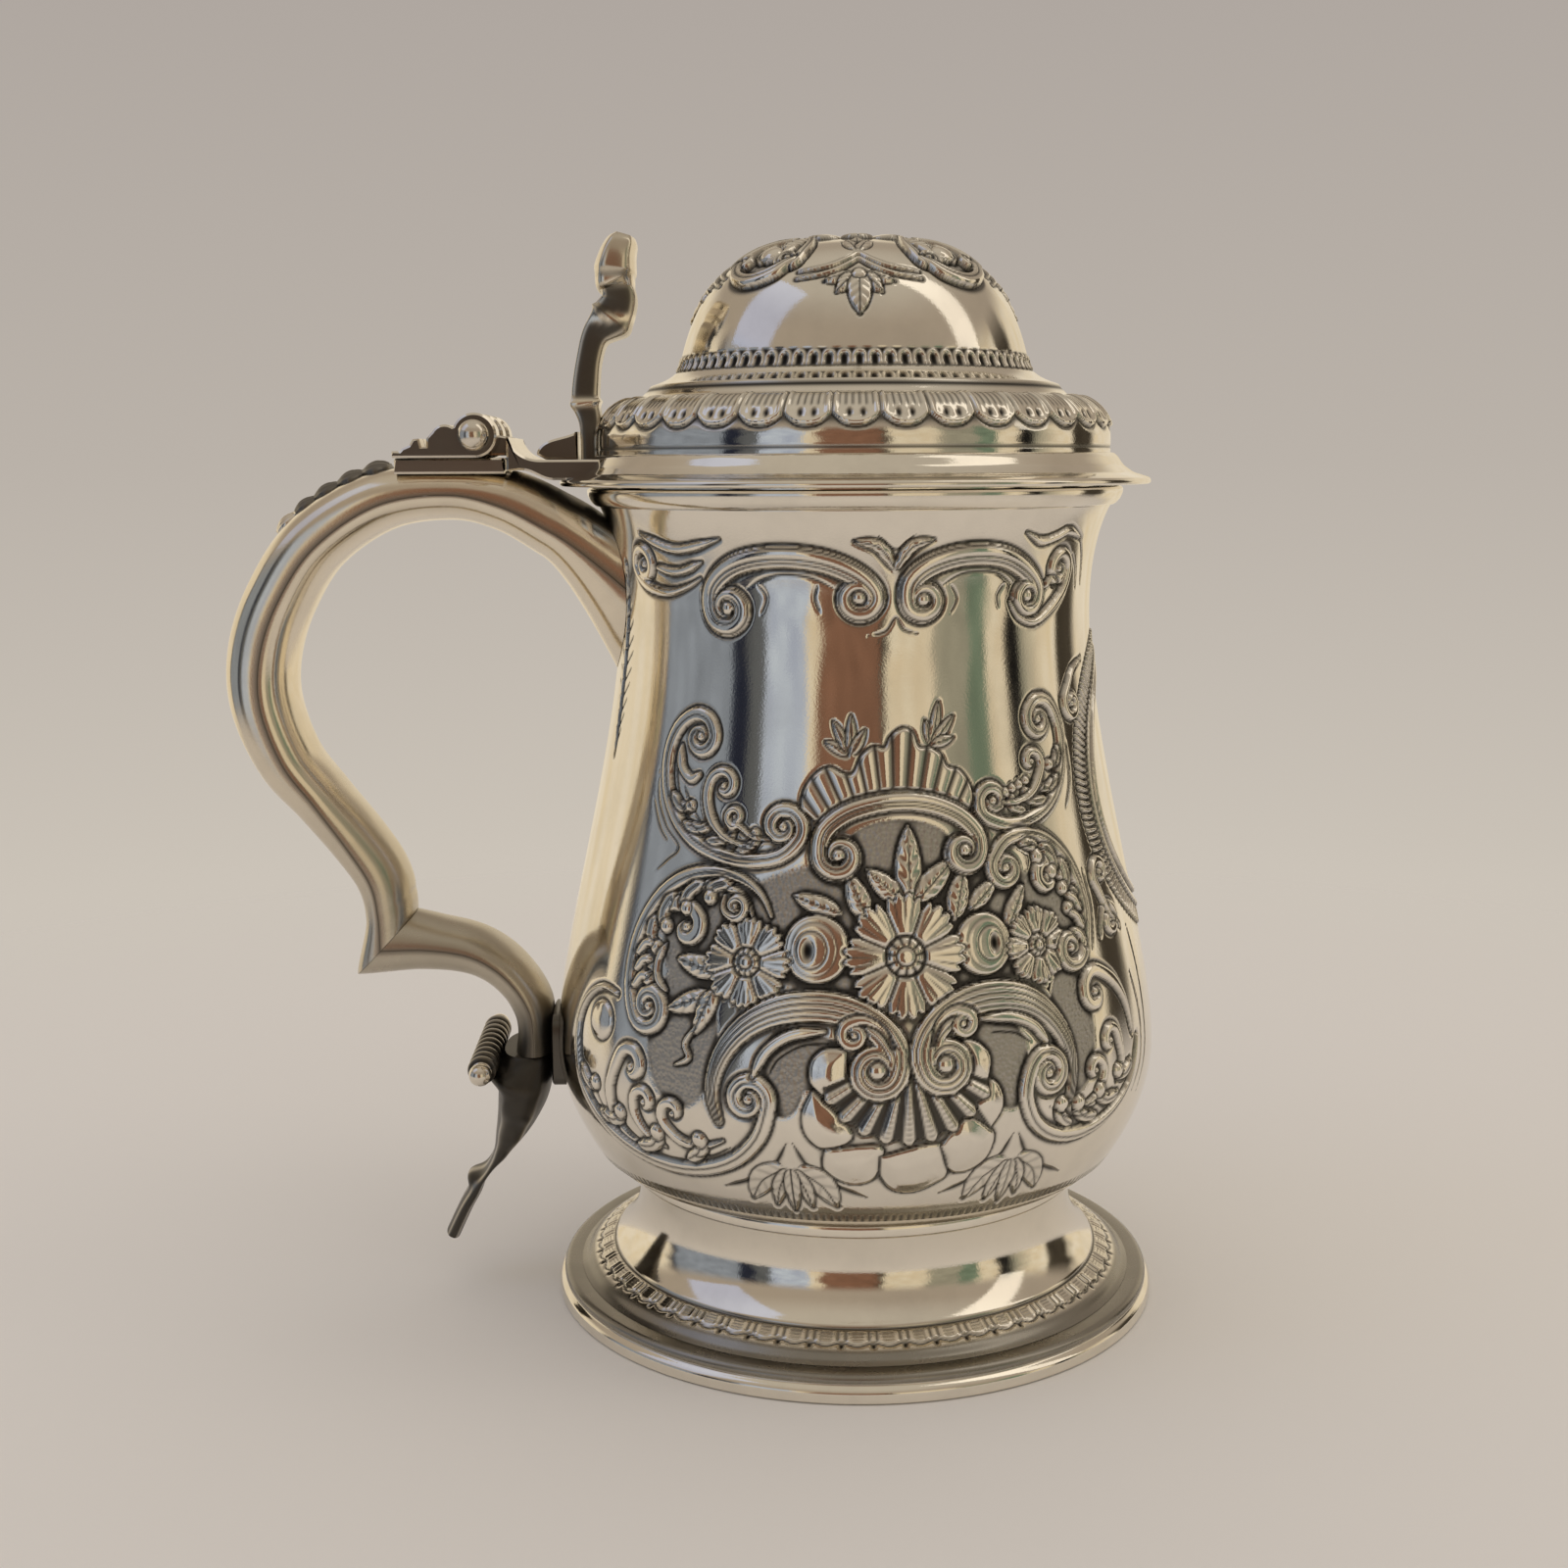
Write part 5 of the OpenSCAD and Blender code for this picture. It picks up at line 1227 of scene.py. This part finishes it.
def make_terminal():
    """The shield-shaped terminal with its ribbed edge, its spine, the web to the roll and a curled tail."""
    stations = [(PAD_X - out, SHIELD_TOP - share * SHIELD_DROP, half, wide)
                for out, share, half, wide in SHIELD]

    def swell(z, a):
        drop = (SHIELD_TOP - z) / SHIELD_DROP
        rim = 0.35 * bell(np.abs(np.cos(a)) - 0.86, 0.1)
        spine = 0.45 * bell(np.cos(a), 0.16) * ramp(drop, 0.1, 0.3)
        lobes = 0.25 * math.cos(2 * math.pi * SHIELD_LOBES * drop) * np.abs(np.cos(a)) ** 3
        curl = 1.9 * bell(drop - 0.72, 0.035) * np.clip(np.sin(a), 0, 1) ** 3
        web = 3.4 * bell(drop - 0.13, 0.06) * np.clip(np.sin(a), 0, 1)
        field = ramp(drop, 0.0, 0.06) * (1 - ramp(drop, 0.48, 0.6))
        return (rim + spine + lobes) * field - SHIELD_EASE + curl + web

    rows = bar_rows(stations, 2.4, swell)
    rows[..., 0] = np.minimum(rows[..., 0], PAD_X - SEAM)
    rows[..., 2] = np.minimum(rows[..., 2], SHIELD_TOP)
    rows[0, :, 2] = SHIELD_TOP
    rows = closed(rows)
    cos, sin = np.cos(WHOLE_TURN), np.sin(WHOLE_TURN)
    # Lighter along the rim and the spine, lower down the terminal
    polish = bell(np.abs(cos) - 0.8, 0.1) + bell(cos, 0.12) * (sin > 0)
    polish = polish[None] * ramp(SHIELD_TOP - rows[..., 2], 8, 16)
    build = Build().grid(rows, patina_and_shade=SHIELD_DARKENING - SHIELD_LIGHTENING * polish)
    build.piece("terminal_cast", "vessel", "silver_cast", "shield_terminal", sharp=60)


ROLL_R, ROLL_L, ROLL_RIBS, ROLL_GROOVE, ROLL_DROP = 2.7, 31.0, 10, 0.8, 0.8
ROLL_BEAD_R = 0.78 * ROLL_R


def make_roll():
    """The ribbed roll across the head of the terminal, with a bead at each end."""
    x, z = PAD_X - SHIELD_OUT - SHIELD_HALF - 3 * SEAM - ROLL_R, SHIELD_TOP - ROLL_DROP
    line = [(ROLL_R - ROLL_GROOVE * abs(math.cos(math.pi * ROLL_RIBS * (y / ROLL_L + 0.5))) ** 3, y)
            for y in np.linspace(-ROLL_L / 2, ROLL_L / 2, 12 * ROLL_RIBS + 1)]
    tip = arc((0, ROLL_L / 2 + 0.7 * ROLL_BEAD_R), ROLL_BEAD_R, -40, 90, 16)
    line = np.array([(r, -y) for r, y in tip[::-1]] + line + tip)
    turned = spin(line[:, 0], line[:, 1], RING[::6])
    points = np.stack([turned[..., 0] + x, turned[..., 2], turned[..., 1] + z], axis=2)[:, ::-1]
    ribbed = np.abs(line[:, 1]) < ROLL_L / 2
    dark = np.where(ribbed, np.clip(0.55 + (ROLL_R - line[:, 0]) / ROLL_GROOVE, 0, 0.95), 0.0)
    Build().grid(points, patina_and_shade=dark[:, None]).piece("roll_ribbed", "vessel", "silver_cast", "handle_roll")


# Husks: the drop starts behind the hinge and covers so many spans between stations
HUSKS, HUSK_ROWS, DROP_START_X, DROP_SPANS, DROP_W, DROP_H = 5, 16, -83.9, 1.5, 12.0, 1.7
HUSK_FLUTES, DROP_TAPER, HUSK_TARNISH = 3, 0.55, 0.8


def make_husks():
    """The drop of graduated husks on the back of the handle, each a fluted bell."""
    fine, _ = sweep(STATIONS)
    crest = np.argmax(fine[:, 0] < DROP_START_X) / SWEEP
    count = HUSK_ROWS * HUSKS
    places = SWEEP * (crest + np.linspace(0, DROP_SPANS, count + 1))
    stations = np.stack([np.interp(places, np.arange(len(fine)), column) for column in fine.T], axis=1)
    out = normals(stations[:, :2])
    across = np.linspace(-1, 1, 25)
    flute = 0.82 + 0.18 * np.cos(HUSK_FLUTES * math.pi * across)
    rows = []
    for (x, z, back, _, wide), n, t in zip(stations, out, np.linspace(0, 1, count + 1)):
        full = abs(math.sin(math.pi * HUSKS * t))
        y = across * DROP_W / 2 * (1 - DROP_TAPER * t) * (0.62 + 0.38 * full)
        seat = SEAM + back * (1 - np.abs(2 * y / wide) ** BACK_SQUARE) ** (1 / BACK_SQUARE)
        rise = DROP_H * (1 - 0.2 * t) * (0.5 + 0.5 * full) * (1 - 0.8 * across ** 2)
        top = SEAM + back + (0.3 + rise) * flute
        deep = np.concatenate([seat, top[::-1]])
        rows.append(np.stack([x + n[0] * deep, np.concatenate([y, y[::-1]]), z + n[1] * deep], axis=1))
    rows = closed(np.array(rows))
    dark = HUSK_TARNISH * (np.arange(len(rows)) < (HUSKS - 1) * HUSK_ROWS)[:, None]
    Build().grid(rows, patina_and_shade=dark).piece("husks_cast", "vessel", "silver_cast", "husk_drop", sharp=70)


# Thumbpiece: each row is distance from the drum, share of the height, half thickness and width
THUMB_Z, THUMB_H, THUMB_SQUARE = 159.65, 40.0, 4.5
THUMB = ((1.65, 0, 1.5, 12), (1.65, 0.10, 1.5, 12), (1.6, 0.18, 2.0, 10.5), (2.3, 0.26, 2.4, 9.5),
         (2.2, 0.34, 2.4, 9), (1.5, 0.46, 2.2, 9), (0.2, 0.56, 2.5, 9.5), (-2.6, 0.635, 3.8, 11),
         (-4.1, 0.71, 3.3, 12), (-3.9, 0.77, 3.0, 13), (-3.4, 0.82, 3.2, 15), (-4.0, 0.91, 2.6, 15),
         (-5.0, 0.975, 1.9, 13.5), (-5.3, 1, 1.2, 11))
# Each collar is a height, a reach and a lift; above the last one the top is rounder, and the collars and the
# top carry a painted highlight
COLLARS = ((169.9, 0.75, 0.5), (184.9, 0.7, 0.45), (191.4, 0.8, 0.5))
THUMB_ROUND, THUMB_HIGHLIGHT = (191.5, 194), (192, 193.5)
# The cover's side above its shoulder, in radius and height and only roughly; the thumbpiece keeps clear of it
DOME_SIDE = ((STEP_R, HOLLOW_Z), (DOME_R, DOME_Z), (22, 190), (0, 200))


def make_thumbpiece():
    """The scrolled thumbpiece with its collars, fluted faces and rolled top."""
    stations = [(-(DRUM_R + out), THUMB_Z + share * THUMB_H, half, wide) for out, share, half, wide in THUMB]

    def swell(z, a):
        rings = sum(lift * bell(z - place, reach) for place, reach, lift in COLLARS)
        rim = 0.3 * bell(np.abs(np.cos(a)) - 0.72, 0.16) * ramp(191 - z, 0, 2)
        return rings + rim + (0.9 * np.cos(a) ** 2 + 0.8 * np.sin(a) ** 6) * ramp(z, *THUMB_ROUND)

    rows = closed(bar_rows(stations, THUMB_SQUARE, swell))
    z = rows[..., 2]
    cover = np.concatenate([[(DRUM_R, DRUM_Z)], shoulder_curve(30), DOME_SIDE])
    clear = np.interp(z, cover[:, 1], cover[:, 0]) + SEAM
    rows[..., 0] = np.minimum(rows[..., 0], -np.sqrt(np.clip(clear ** 2 - rows[..., 1] ** 2, 0, None)))
    # Painted highlight: the collars and the top are left lighter; the flat side faces are darker
    painted_highlight = sum(bell(z - place, reach) for place, reach, _ in COLLARS) + 0.6 * ramp(z, *THUMB_HIGHLIGHT)
    face = 1 - ramp(np.abs(np.sin(WHOLE_TURN)), 0.3, 0.55)
    build = Build().grid(rows, patina_and_shade=(0.3 + 0.58 * face) * np.clip(1 - 1.3 * painted_highlight, 0, 1))
    build.piece("thumbpiece_cast", "lid", "silver_cast", "thumbpiece", sharp=70, finish="silver_handle")


# Hinge: outlines are in X and Z from the pin

HINGE_X, HINGE_Z = -68.7, 164.0
LUG_W, LUG_GAP, KNUCKLE_R, LUG_R, BALL_R = 5.5, 0.3, 3.95, 3.55, 2.8
HINGE_L, LUG_PITCH = 5 * LUG_W + 4 * LUG_GAP, LUG_W + LUG_GAP
EDGE = 0.4
LEAF_BACK, LEAF_END, LEAF_T, LEAF_DIP = -14.7, KNUCKLE_R + 1.65, 1.8, 1.8
LEAF_LOW, LEAF_REACH = DRUM_Z + 0.1 - HINGE_Z, 23.9
# The stepped end of the handle's leaf, each height counted from the foot of the knuckle
STEPS = ((LEAF_BACK, 0), (LEAF_BACK, 1.2), (-13.2, 1.2), (-12.8, 1.7), (-11.6, 2.2), (-10.9, 3.3),
         (-9.8, 3.4), (-9.4, 1.9), (-8.6, 1.9), (-8.5, 3.4), (-7.8, 4.2))
BED_W, BED_END, BED_LOW, BED_TOP = HANDLE_W + 0.6, 4.9, -6.8, -4.0
# How much darker the end faces of the hinge's lugs and of the bed are
SIDE_DARKENING, BED_DARKENING = 0.8, 0.7
BRACKET_W, BRACKET_L, BRACKET_GAP = 11.0, 7.4, 3.8


def arc(centre, radius, start, end, count):
    """Points of an arc, angles in degrees."""
    return [(centre[0] + radius * math.cos(t), centre[1] + radius * math.sin(t))
            for t in np.radians(np.linspace(start, end, count))]


def curve_list(p0, p1, p2, p3, count):
    """Points of a cubic curve, as a list."""
    return [tuple(p) for p in bezier(p0, p1, p2, p3, count)]


def prism(build, outline, width, middle=0.0, limit=None, darkening=SIDE_DARKENING):
    """A bar along Y from an outline given clockwise in X and Z from the pin, its end edges eased.
    limit, where given, is the highest X at each Y; darkening sets how much darker both end faces are."""
    low, high = middle - width / 2, middle + width / 2
    line = np.array(outline)
    ring = np.concatenate([line[-1:], line, line[:1]])
    eased = line + EDGE * normals(ring)[1:-1]
    rows = [(eased, low), (line, low + EDGE)]
    rows += [(line, y) for y in np.linspace(low + EDGE, high - EDGE, 10)[1:]]
    rows.append((eased, high))
    points = np.array([[(x, y, z) for x, z in loop] for loop, y in rows]) + (HINGE_X, 0, HINGE_Z)
    if limit:
        points[..., 0] = np.minimum(points[..., 0], limit(points[..., 1]))
    build.grid(points).cap(points[0][::-1], darkening).cap(points[-1], darkening)


def drum_x(y):
    """Where the cover's drum lies on the handle side, a seam away."""
    return -np.sqrt((DRUM_R + SEAM) ** 2 - y ** 2)


def make_leaves():
    """The hinge's leaves: the handle's, stepped and with three lugs, and the cover's, with two lugs."""
    stepped = [(x, rise - KNUCKLE_R) for x, rise in STEPS] + arc((-5.2, -0.7), 2.6, 150, 56, 12)
    lug = stepped + arc((0, 0), KNUCKLE_R, 158, -88, 40)
    gap = stepped + arc((0, 0), KNUCKLE_R + SEAM, 160, 260, 20)
    build = Build()
    for k in (-2, 0, 2):
        prism(build, lug, LUG_W, k * LUG_PITCH)
    for k in (-1, 1):
        prism(build, gap, LUG_PITCH + 2 * EDGE, k * LUG_PITCH)
    build.piece("hinge_handle_leaf_cast", "vessel", "silver_cast", "hinge_handle_leaf", sharp=40)

    low, top, dip, end = LEAF_LOW, LEAF_LOW + LEAF_T, LEAF_LOW - LEAF_DIP, LEAF_END
    plate = [(end, low), (end, -0.4)]
    plate += curve_list((end + 0.4, -0.4), (end + 0.9, -2.6), (end + 3, top), (end + 6, top), 14)
    plate += [(LEAF_REACH, top), (LEAF_REACH, dip)]
    plate += curve_list((14, dip), (11.5, dip), (10.5, low), (8, low), 10)
    arm = [(end + 0.3, -LUG_R)] + arc((0, 0), LUG_R, 268, 2, 40) + [(end + 0.3, -0.4)]
    build = Build()
    prism(build, plate, HINGE_L, limit=drum_x)
    for k in (-1, 1):
        prism(build, arm, LUG_W, k * LUG_PITCH)
    build.piece("hinge_lid_leaf_cast", "lid", "silver_cast", "hinge_lid_leaf", sharp=40)


def make_bed():
    """The plate between the handle and the hinge."""
    bed = [(LEAF_BACK, BED_LOW), (LEAF_BACK, BED_TOP - 0.3), (LEAF_BACK + 0.3, BED_TOP),
           (BED_END - 0.3, BED_TOP), (BED_END, BED_TOP - 0.3), (BED_END, BED_LOW)]
    build = Build()
    prism(build, bed, BED_W, darkening=BED_DARKENING)
    build.piece("hinge_bed_filed", "vessel", "silver_cast", "hinge_bed", sharp=40)


def make_pin_heads():
    """The pin's ball heads."""
    build = Build()
    turn = np.radians(np.linspace(-26, 90, 28))
    y = np.maximum(HINGE_L / 2 + 0.45 * BALL_R + BALL_R * np.sin(turn), HINGE_L / 2 + SEAM)
    ball = spin(BALL_R * np.cos(turn), y, RING[::6])
    for way in (-1, 1):
        head = np.stack([ball[..., 0] + HINGE_X, way * ball[..., 2], ball[..., 1] + HINGE_Z], axis=2)
        build.grid(head if way < 0 else head[:, ::-1])
    build.piece("pin_heads_round", "vessel", "silver_cast", "pin_balls")


def make_bracket():
    """The scrolled bracket behind the thumbpiece."""
    end, low = -(DRUM_R + BRACKET_GAP) - HINGE_X, THUMB_Z - HINGE_Z
    start = end - BRACKET_L
    top = curve_list((start, low + 1.4), (start + 1, low + 4), (end - 3, low + 3.6), (end, low + 5), 14)
    build = Build()
    prism(build, [(start + 1.6, low), (start, low + 0.9)] + top + [(end, low)], BRACKET_W)
    build.piece("thumb_bracket_cast", "lid", "silver_cast", "thumb_bracket", sharp=40)


for make in (make_body, make_cover, make_rings, make_foot, make_handle, make_pad, make_terminal, make_roll,
             make_husks, make_thumbpiece, make_leaves, make_bed, make_pin_heads, make_bracket):
    make()


# Stage, light and camera

FLOOR_REACH = 0.6
FLOOR_TONE = (0.84, 0.81, 0.775, 1)


def make_floor():
    """A wide round floor of pale paper with a faint tooth, fading into the backdrop so that no edge shows."""
    material, tree, add = new_material("floor_paper")
    tooth = add("TexNoise", "Fac", {"Scale": 900.0})
    reach = add("VectorMath", "Value", {0: add("TexCoord", "Object")}, operation="LENGTH")
    finish_shader(tree, {
        "Base Color": FLOOR_TONE, "Roughness": 0.85,
        "Normal": add("Bump", "Normal", {"Strength": 0.05, "Distance": 0.0005, "Height": tooth}),
        "Alpha": add("MapRange", "Result", {"Value": reach, "From Min": 0.55, "From Max": 0.14},
                     interpolation_type="SMOOTHSTEP")})
    mesh = bpy.data.meshes.new("floor")
    angles = np.radians(np.arange(0, 360, 5))
    corners = [(FLOOR_REACH * math.cos(a), FLOOR_REACH * math.sin(a), 0) for a in angles]
    mesh.from_pydata(corners, [], [list(range(len(corners)))])
    mesh.materials.append(material)
    floor = bpy.data.objects.new("floor", mesh)
    bpy.context.scene.collection.objects.link(floor)


# Both lamps face this point; each has a place, a size, a power and a colour, in metres and watts
LAMP_TARGET = (0, 0, 0.1)
LAMPS = {"lamp": ((0.95, -0.15, 1.05), (0.4, 1.5), 1.2, (1.0, 0.94, 0.85)),
         "window": ((-0.95, -0.15, 1.05), (0.7, 0.85), 0.7, (0.3, 0.5, 1.0))}


def make_lamps():
    """Soft rectangular lamps, which the camera doesn't see."""
    for name, (place, size, power, colour) in LAMPS.items():
        lamp = bpy.data.lights.new(name, "AREA")
        lamp.shape = "RECTANGLE"
        lamp.size, lamp.size_y = size
        lamp.energy = power
        lamp.color = colour
        obj = bpy.data.objects.new(name, lamp)
        obj.location = place
        obj.rotation_euler = (Vector(LAMP_TARGET) - Vector(place)).to_track_quat("-Z", "Y").to_euler()
        obj.visible_camera = False
        bpy.context.scene.collection.objects.link(obj)


# Colours of the room round the tankard
CREAM, BEIGE, OLIVE, GREEN = (0.70, 0.60, 0.44), (0.78, 0.68, 0.52), (0.30, 0.28, 0.21), (0.16, 0.21, 0.145)
WINDOW, PANE, SLATE = (0.43, 0.48, 0.58), (0.10, 0.105, 0.11), (0.25, 0.28, 0.33)
NAVY, BLACK = (0.016, 0.019, 0.034), (0.011, 0.010, 0.009)
RUST, UMBER = (0.205, 0.105, 0.065), (0.05, 0.04, 0.028)
CEILING, ZENITH, FLOOR_SHADE = (0.38, 0.32, 0.255, 1), (0.50, 0.45, 0.38, 1), (0.50, 0.45, 0.40, 1)
# Where they stand, by compass share: 0 is behind the camera, rising towards +X
ROOM = ((0.0, RUST), (0.022, RUST), (0.027, BLACK), (0.034, CREAM), (0.088, CREAM), (0.098, OLIVE),
        (0.138, OLIVE), (0.145, GREEN), (0.165, GREEN), (0.175, CREAM), (0.196, CREAM), (0.205, BLACK),
        (0.218, BLACK), (0.23, OLIVE), (0.262, CREAM), (0.295, BEIGE), (0.305, UMBER), (0.34, UMBER),
        (0.36, BEIGE), (0.69, BEIGE), (0.705, NAVY), (0.715, SLATE), (0.822, SLATE), (0.83, NAVY),
        (0.846, NAVY), (0.853, PANE), (0.868, PANE), (0.876, WINDOW), (0.927, WINDOW), (0.931, CREAM),
        (0.94, CREAM), (0.948, RUST))
# Heights, from -1 to 1, between which the strips give way to the ceiling above and to the floor below
LAYERS = ((0.28, 0.5, CEILING), (0.6, 0.95, ZENITH), (-0.2, -0.42, FLOOR_SHADE))
# The backdrop that the camera sees, from low to high, and the heights that it spans
BACKDROP = ((0.0, (0.552, 0.497, 0.445)), (0.42, (0.597, 0.546, 0.479)), (0.70, (0.491, 0.445, 0.397)),
            (1.0, (0.429, 0.386, 0.352)))
BACKDROP_LOW, BACKDROP_HIGH = -0.5, 0.215
SOFT_LIGHT = (0.69, 0.64, 0.585, 1)
# How far the strips waver, as in hand-worked silver, and how strongly clouds mottle them
RIPPLE, CLOUDING = 0.03, 0.45


def colour_steps(tree, steps, value):
    """A ramp through colours at their places."""
    node = tree.nodes.new("ShaderNodeValToRGB")
    elements = node.color_ramp.elements
    while len(elements) < len(steps):
        elements.new(0.5)
    for element, (stop, colour) in zip(elements, steps):
        element.position = stop
        element.color = colour + (1,)
    feed(tree, node.inputs["Fac"], value)
    return node.outputs["Color"]


def make_world():
    """A pale room: plain backdrop for the camera, and a room of upright strips for the silver to show."""
    world = bpy.data.worlds.new("room")
    bpy.context.scene.world = world
    world.use_nodes = True
    tree = world.node_tree
    add = node_maker(tree)

    ray = add("TexCoord", "Generated")
    way = tree.nodes.new("ShaderNodeSeparateXYZ")
    feed(tree, way.inputs["Vector"], ray)
    x, y, z = way.outputs
    compass = add("Math", "Value", {0: x, 1: sum_of(add, y, -1.0, 0.0)}, operation="ARCTAN2")
    ripple = add("TexNoise", "Fac", {"Vector": ray, "Scale": 6.0, "Detail": 2.0})
    turn = sum_of(add, compass, 1 / (2 * math.pi), sum_of(add, ripple, RIPPLE, 1 - RIPPLE / 2))
    wrapped = add("Math", "Value", {0: turn}, operation="FRACT")
    cloud = add("TexNoise", "Fac", {"Vector": ray, "Scale": 11.0, "Detail": 3.0})
    room = blend(add, CLOUDING, colour_steps(tree, ROOM, wrapped), cloud, "OVERLAY")
    for start, end, colour in LAYERS:
        share = add("MapRange", "Result", {"Value": z, "From Min": start, "From Max": end},
                    interpolation_type="SMOOTHSTEP")
        room = blend(add, share, room, colour)

    fade = add("MapRange", "Result", {"Value": z, "From Min": BACKDROP_LOW, "From Max": BACKDROP_HIGH})
    path = tree.nodes.new("ShaderNodeLightPath").outputs
    light = blend(add, path["Is Glossy Ray"], SOFT_LIGHT, room)
    seen = blend(add, path["Is Camera Ray"], light, colour_steps(tree, BACKDROP, fade))
    feed(tree, tree.nodes["Background"].inputs["Color"], seen)


# The camera was fitted to the round edges of foot, rim and cover in the photograph; angles in degrees
CAMERA_PLACE = (-0.0261, -0.3735, 0.1589)
CAMERA_HEADING, CAMERA_PITCH, CAMERA_ROLL = -1.954, 9.223, -0.301
FOCAL_PIXELS, PHOTO_PIXELS = 2020, 1600
SENSOR = 36.0


def make_camera():
    """The photograph's viewpoint."""
    data = bpy.data.cameras.new("camera")
    data.sensor_width = SENSOR
    data.sensor_fit = "HORIZONTAL"
    data.lens = FOCAL_PIXELS / PHOTO_PIXELS * SENSOR
    data.clip_start = 0.01
    camera = bpy.data.objects.new("camera", data)
    bpy.context.scene.collection.objects.link(camera)
    camera.matrix_world = Matrix.Translation(CAMERA_PLACE)
    for degrees, axis in ((CAMERA_HEADING, "Z"), (90 - CAMERA_PITCH, "X"), (CAMERA_ROLL, "Z")):
        camera.matrix_world = camera.matrix_world @ Matrix.Rotation(math.radians(degrees), 4, axis)
    bpy.context.scene.camera = camera


make_floor()
make_world()
make_lamps()
make_camera()
bpy.context.scene.view_settings.view_transform = "Standard"

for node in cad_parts.values():
    node.data.materials.clear()
    node.data.materials.append(SILVER["silver_cast"])
